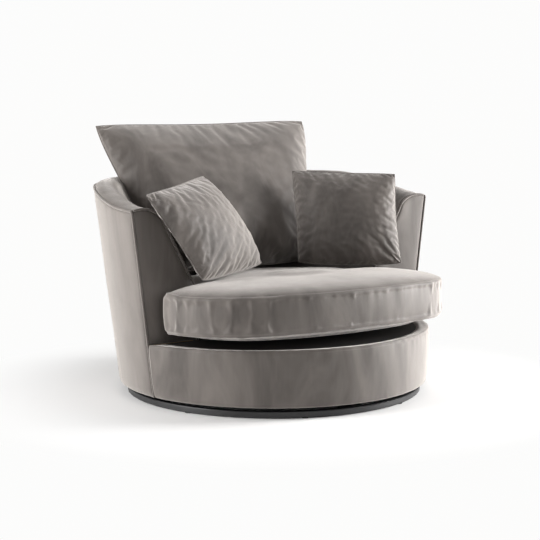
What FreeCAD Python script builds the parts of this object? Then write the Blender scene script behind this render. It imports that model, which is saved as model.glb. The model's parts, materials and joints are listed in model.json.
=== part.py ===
import FreeCAD, Part
import math
import os
from FreeCAD import Vector

# Swivel tub chair, in millimetres.
# The origin is on the floor under the swivel axis, +Z is up and the sitter faces -Y.

# Fit between pieces
GAP = 0.3            # running air between neighbouring pieces
LAYER_GAP = 0.8      # air between the bent layers of the tub
TOUCH = 0.05         # air between pieces that are clamped or rolled together
SEAM_AIR = 3.2       # air between a piping and the panels sewn beside it

# Swivel base
GLIDE_HEAD = 2.5     # how far the plastic feet hold the ring off the floor
GLIDE_R = 11.0
GLIDE_STEM_R = 4.0
GLIDE_STEM = 9.0
GLIDE_COUNT = 8
RING_R = 502.0       # outside of the steel ring
TUBE_W = 22.0        # steel tube, across
TUBE_H = 20.0        # steel tube, high
TUBE_WALL = 1.5
TUBE_CORNER = 3.0
ARM_W = 40.0         # cross arms from the hub to the ring
ARM_COUNT = 4
HUB_R = 60.0

# Swivel bearing
PLATE_R = 150.0
PLATE_BORE_R = 12.15
LOWER_PLATE_T = 5.0
UPPER_PLATE_T = 4.6
RACE_R = 105.0
RACE_DEPTH = 1.6
BALL_R = 4.5
BALL_COUNT = 36
CAGE_T = 2.0
CAGE_W = 14.0
LOWER_SCREW_R = 80.0     # where the screws of the lower plate stand
UPPER_SCREW_R = 134.0    # where the screws of the upper plate stand
UPPER_SCREW_COUNT = 8
SCREW_SHANK_R = 2.9
SCREW_HEAD_R = 5.5
SCREW_HEAD_H = 2.6
SCREW_LENGTH = 14.0
BOLT_R = 8.0             # pivot bolt through both plates
BOLT_HEAD_R = 13.0
BOLT_HEAD_H = 9.0
BUSH_R = 12.0            # bush that the upper plate turns on
WASHER_R = 24.0
WASHER_T = 2.5
NUT_H = 8.0

# Upholstered tub: the outside is a cone about the swivel axis
BASE_R = 527.0           # radius at the bottom edge
RIM_R = 600.0            # radius at the height RIM_Z
RIM_Z = 635.0
EDGE_FRONT_Z = 641.0     # top seam at the arm fronts
EDGE_BACK_Z = 698.0      # top seam behind the sitter
EDGE_RISE_END_Y = 345.0  # where the seam reaches its back height
CROWN_FRONT = 6.0        # swell of the rim above the seam at the arm fronts
CROWN_BACK = 14.0        # and behind the sitter
SHOULDER = 20.0          # how far under the seam the rim meets the inner slope
INNER_R = 365.0          # inner wall beside the seat cushion
INNER_SLOPE_Z = 369.0    # the inner wall leans out above this height
INNER_SLOPE = 0.519      # millimetres outwards for each millimetre up
ARM_FRONT_Y = -85.0      # flat faces at the ends of the arms
COVER_T = 1.5            # velvet with its backing
HEM = 30.0               # cover turned under the bottom board
BOTTOM_ROUND = 8.0
DUST_T = 0.6             # black cloth under the bottom board
STAPLE_W = 10.0
STAPLE_LEG = 7.0
STAPLE_COUNT = 24
PIPING_R = 3.75
PIPING_SUNK = 0.5        # how far the middle of the piping lies inside the seam
PIPING_BEND = 7.0        # bend of the piping at the top of the arm front

# Drum front and seat platform
FRONT_R = 521.0          # drum radius at the middle of the front
FLARE_POWER = 2.3        # how late the drum widens towards the arms
DRUM_END_DEG = 81.0      # where the drum front meets the arms, from the middle of the front
DECK_Z = 208.0           # platform height on the swivel axis
DECK_SLOPE_DEG = 1.28    # the platform rises towards the front
DECK_ROUND = 14.0
LIP_R = 487.0            # where the velvet lip of the platform ends
CLOTH_T = 1.2
FELT_T = 5.0

# Timber frame
PLY = 18.0
BOARD_R = 508.0
SEAT_OPENING_R = 325.0
RAIL_DROP = 16.0         # rim padding above the top rail
RAIL_W = 42.0
RIB_ANGLES = [105.0, 130.0, 155.0, 180.0, 205.0, 230.0, 255.0]
RIB_HOLE_R = 32.0
RIB_RELIEF = 3.2         # the square rib heads stay under the climbing rail
BLOCK_W = 60.0
BLOCK_D = 44.0
BLOCK_R = 478.0          # outer face of the blocks
BLOCK_ANGLES = [0.0, 40.0, 80.0, 120.0, 160.0, 200.0, 240.0, 280.0, 320.0]
HARDBOARD = 3.0
WADDING = 4.7
FOAM_T = 45.0
FOAM_BACK_SLOPE = 0.49
WEB_T = 1.5
WEB_W = 50.0
WEB_LEVELS = [235.0, 312.0, 390.0, 475.0, 548.0]
FRONT_PAD_T = 7.0
ARM_PAD_T = 7.9

# Seat springs
WIRE_R = 1.9
SPRING_XS = [-220.0, -110.0, 0.0, 110.0, 220.0]
SPRING_LOOP = 17.0       # half the swing of the wire to each side
SPRING_PITCH = 44.0      # front to back distance between neighbouring cross bars
SPRING_OVERLAP = 14.0    # how far a spring reaches onto the seat rail
CLIP_W = 20.0
CLIP_D = 16.0
CLIP_WALL = 1.4

# Seat cushion, in its own tilted frame
SEAT_TILT_DEG = 2.96
SEAT_SEAM_Z = 369.0      # top seam over the swivel axis
SEAT_BORDER = 119.0
SEAT_CROWN = 42.0
SEAT_UNDER = 41.1
SEAT_BULGE = 7.0         # how far the border swells out
SEAT_HELD = 0.3          # share of that swell where the tub holds the cushion
SEAT_HALF_W = 508.0
SEAT_FRONT_Y = -492.0
SEAT_SHOULDER_X = 318.0
SEAT_SHOULDER_Y = -446.0
SEAT_CHEEK_X = 458.0
SEAT_CHEEK_Y = -335.0
SEAT_SIDE_Y = -205.0
SEAT_EAR_Y = -118.0
SEAT_EAR_ROUND = 30.0
SEAT_NECK_R = 357.0
PILLOW_CORNER = 0.12     # share of a side that rounds into each corner
SEAT_CENTRE_Y = -150.0

# Share of the plan and share of the crown at each level, from the middle out to the seam
SEAT_CROWN_STEPS = [(0.97, 0.22), (0.9, 0.5), (0.78, 0.74), (0.6, 0.9), (0.38, 0.98), (0.18, 1.0)]
PILLOW_STEPS = [(0.2, 1.0), (0.4, 0.96), (0.58, 0.86), (0.73, 0.7), (0.85, 0.5), (0.93, 0.31), (0.98, 0.13)]

# Back cushion, by the corners of its seam
BACK_BOTTOM = (285.0, 222.0, 379.5)
BACK_TOP = (437.0, 466.0, 884.0)
BACK_WAIST = 0.05        # share by which its sides are drawn in between the corners
BACK_FRONT = 160.0       # how far the fullest place stands before the seam
BACK_REAR = 112.0        # and behind it
BACK_BELLY = -0.55       # the fullest place lies below the middle

# Scatter cushions, by the corners of their seams
SCATTER_FRONT = 74.0     # how far the fullest place stands before the seam
SCATTER_REAR = 34.0      # and behind it
SCATTER_DRAW = 0.08      # share by which the sides are drawn in between the corners
SCATTER_FOOT = 0.005       # and the side that the cushion stands on
SCATTER_BELLY = -0.1
RIGHT_CORNERS = [(117.0, 36.0, 411.5), (425.0, -176.0, 408.5), (450.0, -105.0, 730.0), (196.0, 190.0, 737.0)]
LEFT_CORNERS = [(-399.0, -187.0, 411.2), (-12.0, 38.0, 419.2),
                (-196.0, 140.0, 737.0), (-581.0, -137.0, 702.0)]
FILLING_GAP = 1.0
ZIP_H = 9.0
ZIP_ROOM = 0.4
ZIP_REACH = 150.0
ZIP_INSET = 4.0          # from the lower seam to the zip, on the hidden side
ZIP_SHARE = 0.6          # length of a zip along its side

# Heights that follow from the stack above the floor
RING_Z = GLIDE_HEAD
RING_TOP = RING_Z + TUBE_H
LOWER_TOP = RING_TOP + LOWER_PLATE_T
BALL_Z = LOWER_TOP - RACE_DEPTH + TOUCH + BALL_R
UPPER_Z = BALL_Z + BALL_R + TOUCH - RACE_DEPTH
BOARD_Z = UPPER_Z + UPPER_PLATE_T
BOARD_TOP = BOARD_Z + PLY
SKIRT_Z = BOARD_Z - COVER_T
CLOTH_Z = DECK_Z - CLOTH_T
FELT_Z = CLOTH_Z - GAP - FELT_T
WIRE_Z = FELT_Z - GAP - WIRE_R
SEAT_RAIL_TOP = WIRE_Z - WIRE_R - GAP
SEAT_RAIL_Z = SEAT_RAIL_TOP - PLY
DECK_SLOPE = math.tan(math.radians(DECK_SLOPE_DEG))
CONE_SLOPE = (RIM_R - BASE_R) / (RIM_Z - SKIRT_Z)
UP = Vector(0, 0, 1)


def save(shape, name):
    """Write one node, and print its volume so that a broken piece is noticed."""
    if not shape.isValid() or shape.Volume <= 0:
        print("CHECK", name, shape.isValid(), shape.Volume)
    shape.exportStep("parts/" + name + ".step")


def disc(radius, height, z, bore=0.0):
    """Flat round plate, with an optional hole in its middle."""
    plate = Part.makeCylinder(radius, height, Vector(0, 0, z))
    if bore > 0:
        plate = plate.cut(Part.makeCylinder(bore, 3 * height, Vector(0, 0, z - height)))
    return plate


def around(shape, count, start_deg=0.0):
    """Copies of a shape about the swivel axis."""
    copies = []
    for index in range(count):
        copy = shape.copy()
        copy.rotate(Vector(0, 0, 0), UP, start_deg + 360.0 * index / count)
        copies.append(copy)
    return copies


def at(angle_deg, radius, z):
    """A point at an angle from the front, turning towards +X."""
    angle = math.radians(angle_deg)
    return Vector(radius * math.sin(angle), -radius * math.cos(angle), z)


def tilt(shape, degrees, z):
    """Raise the front of a shape by turning it about the cross axis at a height."""
    shape.rotate(Vector(0, 0, z), Vector(1, 0, 0), -degrees)
    return shape


def deck_height(y):
    """Top of the sloping platform."""
    return DECK_Z - DECK_SLOPE * y


def cone_r(z):
    """Outside radius of the tub at a height."""
    return BASE_R + CONE_SLOPE * (z - SKIRT_Z)


def inner_r(z):
    """Radius of the inner wall at a height."""
    return INNER_R + INNER_SLOPE * max(0.0, z - INNER_SLOPE_Z)


def foam_back_r(z):
    """Back of the inner padding, which the webbing and the ribs follow."""
    return INNER_R + FOAM_T + FOAM_BACK_SLOPE * max(0.0, z - INNER_SLOPE_Z)


def edge_z(y):
    """Height of the top seam, which climbs smoothly from the arms to the back."""
    share = (y - ARM_FRONT_Y) / (EDGE_RISE_END_Y - ARM_FRONT_Y)
    share = min(1.0, max(0.0, share))
    return EDGE_FRONT_Z + (EDGE_BACK_Z - EDGE_FRONT_Z) * share * share * (3 - 2 * share)


def crown(edge):
    """Swell of the rim, which is a little fuller behind the sitter."""
    share = (edge - EDGE_FRONT_Z) / (EDGE_BACK_Z - EDGE_FRONT_Z)
    return CROWN_FRONT + (CROWN_BACK - CROWN_FRONT) * share


def drum_r(angle_deg, z):
    """Radius of the drum front, which widens into the cone at the arms."""
    share = min(1.0, abs(angle_deg) / DRUM_END_DEG) ** FLARE_POWER
    return FRONT_R + (cone_r(z) - FRONT_R) * share


def section_wire(place, start, steps):
    """Closed wire through (r, z) points: one point makes a line, two make an arc."""
    edges = []
    here = place(*start)
    for step in steps:
        points = [place(*pair) for pair in step]
        if len(points) == 1:
            edges.append(Part.makeLine(here, points[0]))
        else:
            edges.append(Part.Arc(here, points[0], points[1]).toShape())
        here = points[-1]
    edges.append(Part.makeLine(here, place(*start)))
    return Part.Wire(edges)


def wall_loft(section, front_y):
    """Loft a wall section round the back, from one arm front to the other."""
    def flat_wire(side, y):
        def flat(r, z):
            return Vector(side * math.sqrt(r * r - y * y), y, z)
        start, steps = section(edge_z(y), deck_height(y))
        return section_wire(flat, start, steps)
    planes = [front_y] if front_y >= STRUCTURE_Y else [front_y, STRUCTURE_Y]
    right = [flat_wire(1, y) for y in planes]
    left = [flat_wire(-1, y) for y in reversed(planes)]
    inner = []
    for index in range(19):
        angle = 90.0 + 10.0 * index
        def turned(r, z, angle=angle):
            return at(angle, r, z)
        y = -RIM_R * math.cos(math.radians(angle))
        deck_y = -INNER_R * math.cos(math.radians(angle))
        start, steps = section(edge_z(y), deck_height(deck_y))
        inner.append(section_wire(turned, start, steps))
    return Part.makeLoft(right + inner + left, True, False)


def drum_loft(section, end_y):
    """Loft a section round the drum front, between the two arm fronts."""
    wires = []
    last = 12
    for index in range(last + 1):
        angle = DRUM_END_DEG * (2 * index / last - 1)
        if index in (0, last):
            side = -1 if index == 0 else 1
            def place(r, z, side=side):
                return Vector(side * math.sqrt(r * r - end_y * end_y), end_y, z)
        else:
            def place(r, z, angle=angle):
                return at(angle, r, z)
        y = -FRONT_R * math.cos(math.radians(angle))
        start, steps = section(angle, deck_height(y))
        wires.append(section_wire(place, start, steps))
    return Part.makeLoft(wires, True, False)


def cord(points, radius, ruled=False, before=None, after=None):
    """Round cord through points; before and after are the neighbours beyond its ends."""
    wires = []
    route = [before or points[0]] + points + [after or points[-1]]
    for index, point in enumerate(points):
        along = (route[index + 2] - route[index]).normalize()
        out = Vector(point.x, point.y - RIM_R, 0.0)
        out = (out - along * out.dot(along)).normalize()
        side = along.cross(out)
        ring = []
        for step in range(6):
            angle = math.radians(60.0 * step)
            ring.append(point + out * (radius * math.cos(angle)) + side * (radius * math.sin(angle)))
        ring.append(ring[0])
        edges = [Part.Arc(ring[k], ring[k + 1], ring[k + 2]).toShape() for k in (0, 2, 4)]
        wires.append(Part.Wire(edges))
    return Part.makeLoft(wires, True, ruled)


# Swivel base


def tube_section(width, height, corner, x, z):
    """Rounded rectangle in the XZ plane, for the ring's tube."""
    box = Part.makeBox(width, 1.0, height, Vector(x, 0, z))
    edges = [e for e in box.Edges if abs(e.tangentAt(e.FirstParameter).y) > 0.9]
    rounded = box.makeFillet(corner, edges)
    faces = [f for f in rounded.Faces if f.normalAt(0, 0).y < -0.99]
    return faces[0]


def base_ring():
    outer = tube_section(TUBE_W, TUBE_H, TUBE_CORNER, RING_R - TUBE_W, RING_Z)
    inner = tube_section(TUBE_W - 2 * TUBE_WALL, TUBE_H - 2 * TUBE_WALL, TUBE_CORNER - TUBE_WALL,
                         RING_R - TUBE_W + TUBE_WALL, RING_Z + TUBE_WALL)
    ring = outer.revolve(Vector(0, 0, 0), UP, 360).cut(inner.revolve(Vector(0, 0, 0), UP, 360))
    hole = Part.makeCylinder(GLIDE_STEM_R + TOUCH, 3 * TUBE_WALL,
                             Vector(RING_R - TUBE_W / 2, 0, RING_Z - TUBE_WALL))
    for cutter in around(hole, GLIDE_COUNT, 22.5):
        ring = ring.cut(cutter)
    return ring


def base_glides():
    middle = RING_R - TUBE_W / 2
    head = Part.makeCylinder(GLIDE_R, GLIDE_HEAD, Vector(middle, 0, 0))
    lower = [e for e in head.Edges if e.BoundBox.ZMax < 0.01]
    head = head.makeChamfer(0.8, lower)
    stem = Part.makeCylinder(GLIDE_STEM_R, GLIDE_STEM, Vector(middle, 0, GLIDE_HEAD))
    return Part.makeCompound(around(head.fuse(stem), GLIDE_COUNT, 22.5))


def base_arms():
    """Four tubes between hub and ring, welded at both ends."""
    inside = RING_R - TUBE_W - TOUCH
    start = HUB_R - 4.0
    block = Part.makeBox(inside - start, ARM_W, TUBE_H, Vector(start, -ARM_W / 2, RING_Z))
    block = block.common(disc(inside, TUBE_H, RING_Z)).cut(disc(HUB_R + TOUCH, TUBE_H, RING_Z))
    hollow = Part.makeBox(inside, ARM_W - 2 * TUBE_WALL, TUBE_H - 2 * TUBE_WALL,
                          Vector(0, -ARM_W / 2 + TUBE_WALL, RING_Z + TUBE_WALL))
    arm = block.cut(hollow)
    hole = Part.makeCylinder(SCREW_SHANK_R + TOUCH, 3 * TUBE_WALL,
                             Vector(LOWER_SCREW_R, 0, RING_TOP - 2 * TUBE_WALL))
    return Part.makeCompound(around(arm.cut(hole), ARM_COUNT))


def base_hub():
    hub = disc(HUB_R, TUBE_H, RING_Z, BOLT_R + TOUCH)
    pocket = Part.makeCylinder(BOLT_HEAD_R + 1.0, BOLT_HEAD_H + 1.0, Vector(0, 0, RING_Z - 1.0))
    return hub.cut(pocket)


def race_groove(z):
    """Ring that hollows the ball race out of a plate."""
    return Part.makeTorus(RACE_R, BALL_R + TOUCH, Vector(0, 0, z))


def countersunk(x, z):
    """Flush screw head with its shank, pointing down from a plate's top."""
    head = Part.makeCone(SCREW_SHANK_R, SCREW_HEAD_R, SCREW_HEAD_H, Vector(x, 0, z - SCREW_HEAD_H))
    shank = Part.makeCylinder(SCREW_SHANK_R, SCREW_LENGTH, Vector(x, 0, z - SCREW_LENGTH))
    return head.fuse(shank)


def swivel_lower_plate():
    plate = disc(PLATE_R, LOWER_PLATE_T, RING_TOP, BUSH_R + TOUCH).cut(race_groove(BALL_Z))
    seat = Part.makeCone(SCREW_SHANK_R + TOUCH, SCREW_HEAD_R + TOUCH, SCREW_HEAD_H,
                         Vector(LOWER_SCREW_R, 0, LOWER_TOP - SCREW_HEAD_H))
    hole = Part.makeCylinder(SCREW_SHANK_R + TOUCH, LOWER_PLATE_T * 2, Vector(LOWER_SCREW_R, 0, RING_TOP - 1))
    for cutter in around(seat.fuse(hole), ARM_COUNT):
        plate = plate.cut(cutter)
    return plate


def lower_plate_screws():
    return Part.makeCompound(around(countersunk(LOWER_SCREW_R, LOWER_TOP - TOUCH), ARM_COUNT))


def bearing_balls():
    ball = Part.makeSphere(BALL_R, Vector(RACE_R, 0, BALL_Z))
    return Part.makeCompound(around(ball, BALL_COUNT))


def ball_cage():
    cage = disc(RACE_R + CAGE_W / 2, CAGE_T, BALL_Z - CAGE_T / 2, RACE_R - CAGE_W / 2)
    pocket = Part.makeCylinder(BALL_R + GAP, 3 * CAGE_T, Vector(RACE_R, 0, BALL_Z - 1.5 * CAGE_T))
    for cutter in around(pocket, BALL_COUNT):
        cage = cage.cut(cutter)
    return cage


def hexagon(radius, height, z):
    points = [Vector(radius * math.cos(math.radians(60 * k)), radius * math.sin(math.radians(60 * k)), z)
              for k in range(7)]
    return Part.Face(Part.makePolygon(points)).extrude(Vector(0, 0, height))


def pivot_bolt():
    top = BOARD_Z + WASHER_T + NUT_H + 2.0
    head_z = RING_Z + 0.8
    head = hexagon(BOLT_HEAD_R, BOLT_HEAD_H - 1.0, head_z)
    shank = Part.makeCylinder(BOLT_R, top - head_z, Vector(0, 0, head_z))
    return head.fuse(shank)


def pivot_bush():
    """Plain bush round the bolt, clamped between the hub and the washer."""
    return disc(BUSH_R, BOARD_Z + TOUCH - RING_TOP, RING_TOP, BOLT_R + TOUCH)


def pivot_washer():
    return disc(WASHER_R, WASHER_T, BOARD_Z + 2 * TOUCH, BOLT_R + TOUCH)


def pivot_nut():
    nut = hexagon(BOLT_HEAD_R, NUT_H, BOARD_Z + WASHER_T + 3 * TOUCH)
    return nut.cut(Part.makeCylinder(BOLT_R + TOUCH, 4 * NUT_H, Vector(0, 0, BOARD_Z)))


def swivel_upper_plate():
    plate = disc(PLATE_R, UPPER_PLATE_T, UPPER_Z, PLATE_BORE_R).cut(race_groove(BALL_Z))
    hole = Part.makeCylinder(SCREW_SHANK_R + TOUCH, 3 * UPPER_PLATE_T, Vector(UPPER_SCREW_R, 0, UPPER_Z - 2))
    for cutter in around(hole, UPPER_SCREW_COUNT, 22.5):
        plate = plate.cut(cutter)
    return plate


def upper_plate_screws():
    """Round-headed screws that hold the upper plate to the bottom board."""
    head = Part.makeCylinder(SCREW_HEAD_R, SCREW_HEAD_H, Vector(UPPER_SCREW_R, 0, UPPER_Z - SCREW_HEAD_H))
    head = head.makeFillet(1.2, [e for e in head.Edges if e.BoundBox.ZMax < UPPER_Z - SCREW_HEAD_H + 0.01])
    shank = Part.makeCylinder(SCREW_SHANK_R, SCREW_LENGTH, Vector(UPPER_SCREW_R, 0, UPPER_Z))
    return Part.makeCompound(around(head.fuse(shank), UPPER_SCREW_COUNT, 22.5))


# Timber frame


def bottom_board():
    board = disc(BOARD_R, PLY, BOARD_Z, WASHER_R + 3.0)
    hole = Part.makeCylinder(SCREW_SHANK_R + TOUCH, SCREW_LENGTH - UPPER_PLATE_T + 0.5,
                             Vector(UPPER_SCREW_R, 0, BOARD_Z))
    for cutter in around(hole, UPPER_SCREW_COUNT, 22.5):
        board = board.cut(cutter)
    return board


def frame_blocks():
    """Timber blocks between the bottom board and the seat rail."""
    blocks = []
    for angle in BLOCK_ANGLES:
        middle = at(angle, BLOCK_R - BLOCK_D / 2, 0)
        top = SEAT_RAIL_Z - DECK_SLOPE * (middle.y + BLOCK_W / 2) - GAP
        block = Part.makeBox(BLOCK_W, BLOCK_D, top - BOARD_TOP, Vector(-BLOCK_W / 2, -BLOCK_R, BOARD_TOP))
        block.rotate(Vector(0, 0, 0), UP, angle)
        blocks.append(block)
    return Part.makeCompound(blocks)


def seat_rail():
    rail = disc(BOARD_R, PLY, SEAT_RAIL_Z, SEAT_OPENING_R)
    return tilt(rail, DECK_SLOPE_DEG, DECK_Z)


def rib(angle):
    """Upright plywood former in a radial plane, from the seat rail to the top rail."""
    edge = edge_z(-RIM_R * math.cos(math.radians(angle)))
    top = edge - RAIL_DROP - PLY - RIB_RELIEF
    inset = COVER_T + WADDING + HARDBOARD + 4 * LAYER_GAP
    web = WEB_T + GAP + LAYER_GAP
    foot = deck_height(-(foam_back_r(0)) * math.cos(math.radians(angle))) - DECK_Z + SEAT_RAIL_TOP + GAP
    pairs = [(foam_back_r(0) + web, foot), (foam_back_r(INNER_SLOPE_Z) + web, INNER_SLOPE_Z),
             (foam_back_r(top) + web, top), (cone_r(top) - inset, top), (cone_r(foot) - inset, foot)]
    middle = [at(angle, r, z) for r, z in pairs]
    face = Part.Face(Part.makePolygon(middle + [middle[0]]))
    across = at(angle + 90.0, PLY, 0)
    former = face.extrude(across)
    former.translate(across * -0.5)
    hole = Part.makeCylinder(RIB_HOLE_R, 4 * PLY, at(angle, 480.0, 280.0) - across * 2.0, across)
    return former.cut(hole)


def frame_ribs():
    return Part.makeCompound([rib(angle) for angle in RIB_ANGLES])


def rail_section(edge, deck):
    """Plywood top rail under the rim padding."""
    top = edge - RAIL_DROP
    outer = cone_r(top) - COVER_T - WADDING - HARDBOARD - 4 * LAYER_GAP
    low = outer - CONE_SLOPE * PLY
    return (outer, top), [[(outer - RAIL_W, top)], [(outer - RAIL_W, top - PLY)], [(low, top - PLY)]]


def rim_circle(edge):
    """Circle of the rim's crown: through the outer seam, the top and the shoulder."""
    shoulder = edge - SHOULDER
    points = [(cone_r(edge) - SEAM_BACK, edge + 1.5),
              ((cone_r(edge) + inner_r(edge)) / 2, edge + crown(edge)),
              (inner_r(shoulder), shoulder)]
    circle = Part.Circle(*[Vector(r, z, 0) for r, z in points])
    return circle.Center.x, circle.Center.y, circle.Radius


def rim_z(edge, inset, r):
    """Height of the crown over a radius, under a skin."""
    centre_r, centre_z, radius = rim_circle(edge)
    return centre_z + math.sqrt((radius - inset) ** 2 - (r - centre_r) ** 2)


def rim_points(edge, inset):
    """Top of the crown, and the shoulder where it meets the inner slope, under a skin."""
    centre_r, centre_z, radius = rim_circle(edge)
    middle = (cone_r(edge) + inner_r(edge)) / 2
    lean = math.hypot(1.0, INNER_SLOPE)
    down_r = -INNER_SLOPE / lean
    down_z = -1.0 / lean
    start_r = inner_r(edge) + inset / lean - centre_r
    start_z = edge - inset * INNER_SLOPE / lean - centre_z
    ahead = start_r * down_r + start_z * down_z
    apart = start_r * start_r + start_z * start_z - (radius - inset) ** 2
    root = math.sqrt(ahead * ahead - apart)
    reach = -ahead + root if apart < 0 else -ahead - root
    shoulder = (centre_r + start_r + reach * down_r, centre_z + start_z + reach * down_z)
    return (middle, rim_z(edge, inset, middle)), shoulder


def arm_outline(inset, bottom, y):
    """Face of an arm front, drawn on the +X side: slanted sides under a crowned top."""
    def flat(r, z):
        return Vector(math.sqrt(r * r - ARM_FRONT_Y * ARM_FRONT_Y), y, z)
    top, shoulder = rim_points(EDGE_FRONT_Z, inset)
    start = (cone_r(bottom) - inset, bottom)
    steps = [
        [(cone_r(EDGE_FRONT_Z) - inset, rim_z(EDGE_FRONT_Z, inset, cone_r(EDGE_FRONT_Z) - inset))],
        [top, shoulder],
        [(INNER_R + inset, INNER_SLOPE_Z - 0.25 * inset)],
        [(INNER_R + inset, bottom)],
    ]
    return section_wire(flat, start, steps)


def arm_plate(inset, bottom, y, thickness):
    """Plate that fills the arm's outline between two planes."""
    return Part.Face(arm_outline(inset, bottom, y)).extrude(Vector(0, thickness, 0))


def both_sides(shape):
    """The +X piece and its mirror image on the -X side."""
    return shape, shape.mirror(Vector(0, 0, 0), Vector(1, 0, 0))


PAD_Y = ARM_FRONT_Y + COVER_T + GAP
ARM_BOARD_Y = PAD_Y + ARM_PAD_T + GAP
STRUCTURE_Y = ARM_BOARD_Y + PLY + GAP
SEAM_BACK = PIPING_R + PIPING_SUNK + SEAM_AIR
COVER_Y = ARM_FRONT_Y + PIPING_SUNK + PIPING_R + GAP * 2
FACE_INSET = PIPING_R + PIPING_SUNK + SEAM_AIR
ARM_FOOT_Z = deck_height(ARM_FRONT_Y) + 2 * GAP


def arm_front_board():
    foot = deck_height(STRUCTURE_Y) - DECK_Z + SEAT_RAIL_TOP + 2 * GAP
    return arm_plate(COVER_T + WADDING + HARDBOARD + 3 * LAYER_GAP, foot, ARM_BOARD_Y, PLY)


def plinth_section(angle, deck):
    """Bent hardboard behind the drum front's padding."""
    inset = COVER_T + FRONT_PAD_T + 2 * GAP
    low = BOARD_Z + GAP
    high = deck - DECK_ROUND
    return (drum_r(angle, low) - inset, low), [[(drum_r(angle, high) - inset, high)],
                                               [(drum_r(angle, high) - inset - HARDBOARD, high)],
                                               [(drum_r(angle, low) - inset - HARDBOARD, low)]]


def spring_half(x):
    """Half the number of bends, so that a spring just spans the opening of the seat rail."""
    half = math.sqrt((SEAT_OPENING_R + SPRING_OVERLAP) ** 2 - x * x)
    return int(half / SPRING_PITCH)


def sinuous_spring(x):
    """Zigzag spring wire: straight cross bars joined by half-turn bends, front to back."""
    bend = SPRING_PITCH / 2
    reach = SPRING_LOOP
    count = 2 * spring_half(x)
    y = -count * bend
    edges = []
    here = Vector(x - reach, y, WIRE_Z)
    side = 1
    for _ in range(count):
        there = Vector(x + side * reach, here.y, WIRE_Z)
        edges.append(Part.makeLine(here, there))
        turn = Vector(there.x + side * bend, there.y + bend, WIRE_Z)
        after = Vector(there.x, there.y + 2 * bend, WIRE_Z)
        edges.append(Part.Arc(there, turn, after).toShape())
        here = after
        side = -side
    edges.append(Part.makeLine(here, Vector(x + side * reach, here.y, WIRE_Z)))
    path = Part.Wire(edges)
    ring = Part.Wire(Part.makeCircle(WIRE_R, Vector(x - reach, y, WIRE_Z), Vector(1, 0, 0)))
    return path.makePipeShell([ring], True, False)


def seat_springs():
    springs = [sinuous_spring(x) for x in SPRING_XS]
    return tilt(Part.makeCompound(springs), DECK_SLOPE_DEG, DECK_Z)


def spring_clip(x, y):
    """Folded steel clip round the end bar of a spring, nailed to the seat rail by its tail."""
    side = 1 if y > 0 else -1
    left = x - CLIP_W / 2
    rod = Part.makeCylinder(WIRE_R + CLIP_WALL, CLIP_W, Vector(left, y, WIRE_Z), Vector(1, 0, 0))
    start = Vector(x - 1.5 * CLIP_W, y, WIRE_Z)
    hole = Part.makeCylinder(WIRE_R + 2 * TOUCH, 3 * CLIP_W, start, Vector(1, 0, 0))
    tail = Part.makeBox(CLIP_W, CLIP_D, CLIP_WALL, Vector(left, min(y, y + side * CLIP_D), SEAT_RAIL_TOP))
    slab = Part.makeBox(2 * CLIP_W, 3 * CLIP_D, 6 * WIRE_R, Vector(x - CLIP_W, y - 1.5 * CLIP_D, 0))
    below = slab.translated(Vector(0, 0, SEAT_RAIL_TOP - 6 * WIRE_R))
    above = slab.translated(Vector(0, 0, FELT_Z - 2 * TOUCH))
    return rod.fuse(tail).cut(hole).cut(below).cut(above)


def spring_clips():
    """Clips that hold both ends of each spring on the seat rail."""
    clips = []
    for x in SPRING_XS:
        end = spring_half(x) * SPRING_PITCH
        clips += [spring_clip(x, end), spring_clip(x, -end)]
    return tilt(Part.makeCompound(clips), DECK_SLOPE_DEG, DECK_Z)


def platform(thickness, z, edge_r, inset):
    """Sheet over the springs: round in front of the arms, narrower between them."""
    inner = INNER_R - inset
    y = ARM_FRONT_Y - PIPING_R - inset
    wide = math.sqrt(edge_r ** 2 - y ** 2)
    narrow = math.sqrt(inner ** 2 - y ** 2)
    edges = [
        Part.Arc(Vector(-wide, y, z), Vector(0, -edge_r, z), Vector(wide, y, z)).toShape(),
        Part.makeLine(Vector(wide, y, z), Vector(narrow, y, z)),
        Part.Arc(Vector(narrow, y, z), Vector(inner, 0, z), Vector(0, inner, z)).toShape(),
        Part.Arc(Vector(0, inner, z), Vector(-inner, 0, z), Vector(-narrow, y, z)).toShape(),
        Part.makeLine(Vector(-narrow, y, z), Vector(-wide, y, z)),
    ]
    sheet = Part.Face(Part.Wire(edges)).extrude(Vector(0, 0, thickness))
    return tilt(sheet, DECK_SLOPE_DEG, DECK_Z)


def elastic_webbing():
    """Bands of webbing stretched over the front edges of the ribs."""
    bands = []
    for level in WEB_LEVELS:
        low, high = level, level + WEB_W
        near = LAYER_GAP
        far = LAYER_GAP + WEB_T
        pairs = [(foam_back_r(low) + near, low), (foam_back_r(low) + far, low),
                 (foam_back_r(high) + far, high), (foam_back_r(high) + near, high)]
        points = [Vector(r, 0, z) for r, z in pairs]
        face = Part.Face(Part.makePolygon(points + [points[0]]))
        band = face.revolve(Vector(0, 0, 0), UP, 190.0)
        band.rotate(Vector(0, 0, 0), UP, -5.0)
        bands.append(band)
    return Part.makeCompound(bands)


# Padding and covers of the tub


def inner_cover_section(edge, deck):
    """Velvet from the outer seam over the rim and down the inside to the platform."""
    foot = deck + GAP
    top, shoulder = rim_points(edge, 0.0)
    top_in, shoulder_in = rim_points(edge, COVER_T)
    hem = cone_r(edge) - SEAM_BACK
    start = (hem, rim_z(edge, 0.0, hem))
    end = (hem, rim_z(edge, COVER_T, hem))
    steps = [
        [top, shoulder],
        [(INNER_R, INNER_SLOPE_Z)],
        [(INNER_R, foot)],
        [(INNER_R + COVER_T, foot)],
        [(INNER_R + COVER_T, INNER_SLOPE_Z - 0.25 * COVER_T)],
        [shoulder_in],
        [top_in, end],
    ]
    return start, steps


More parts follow.
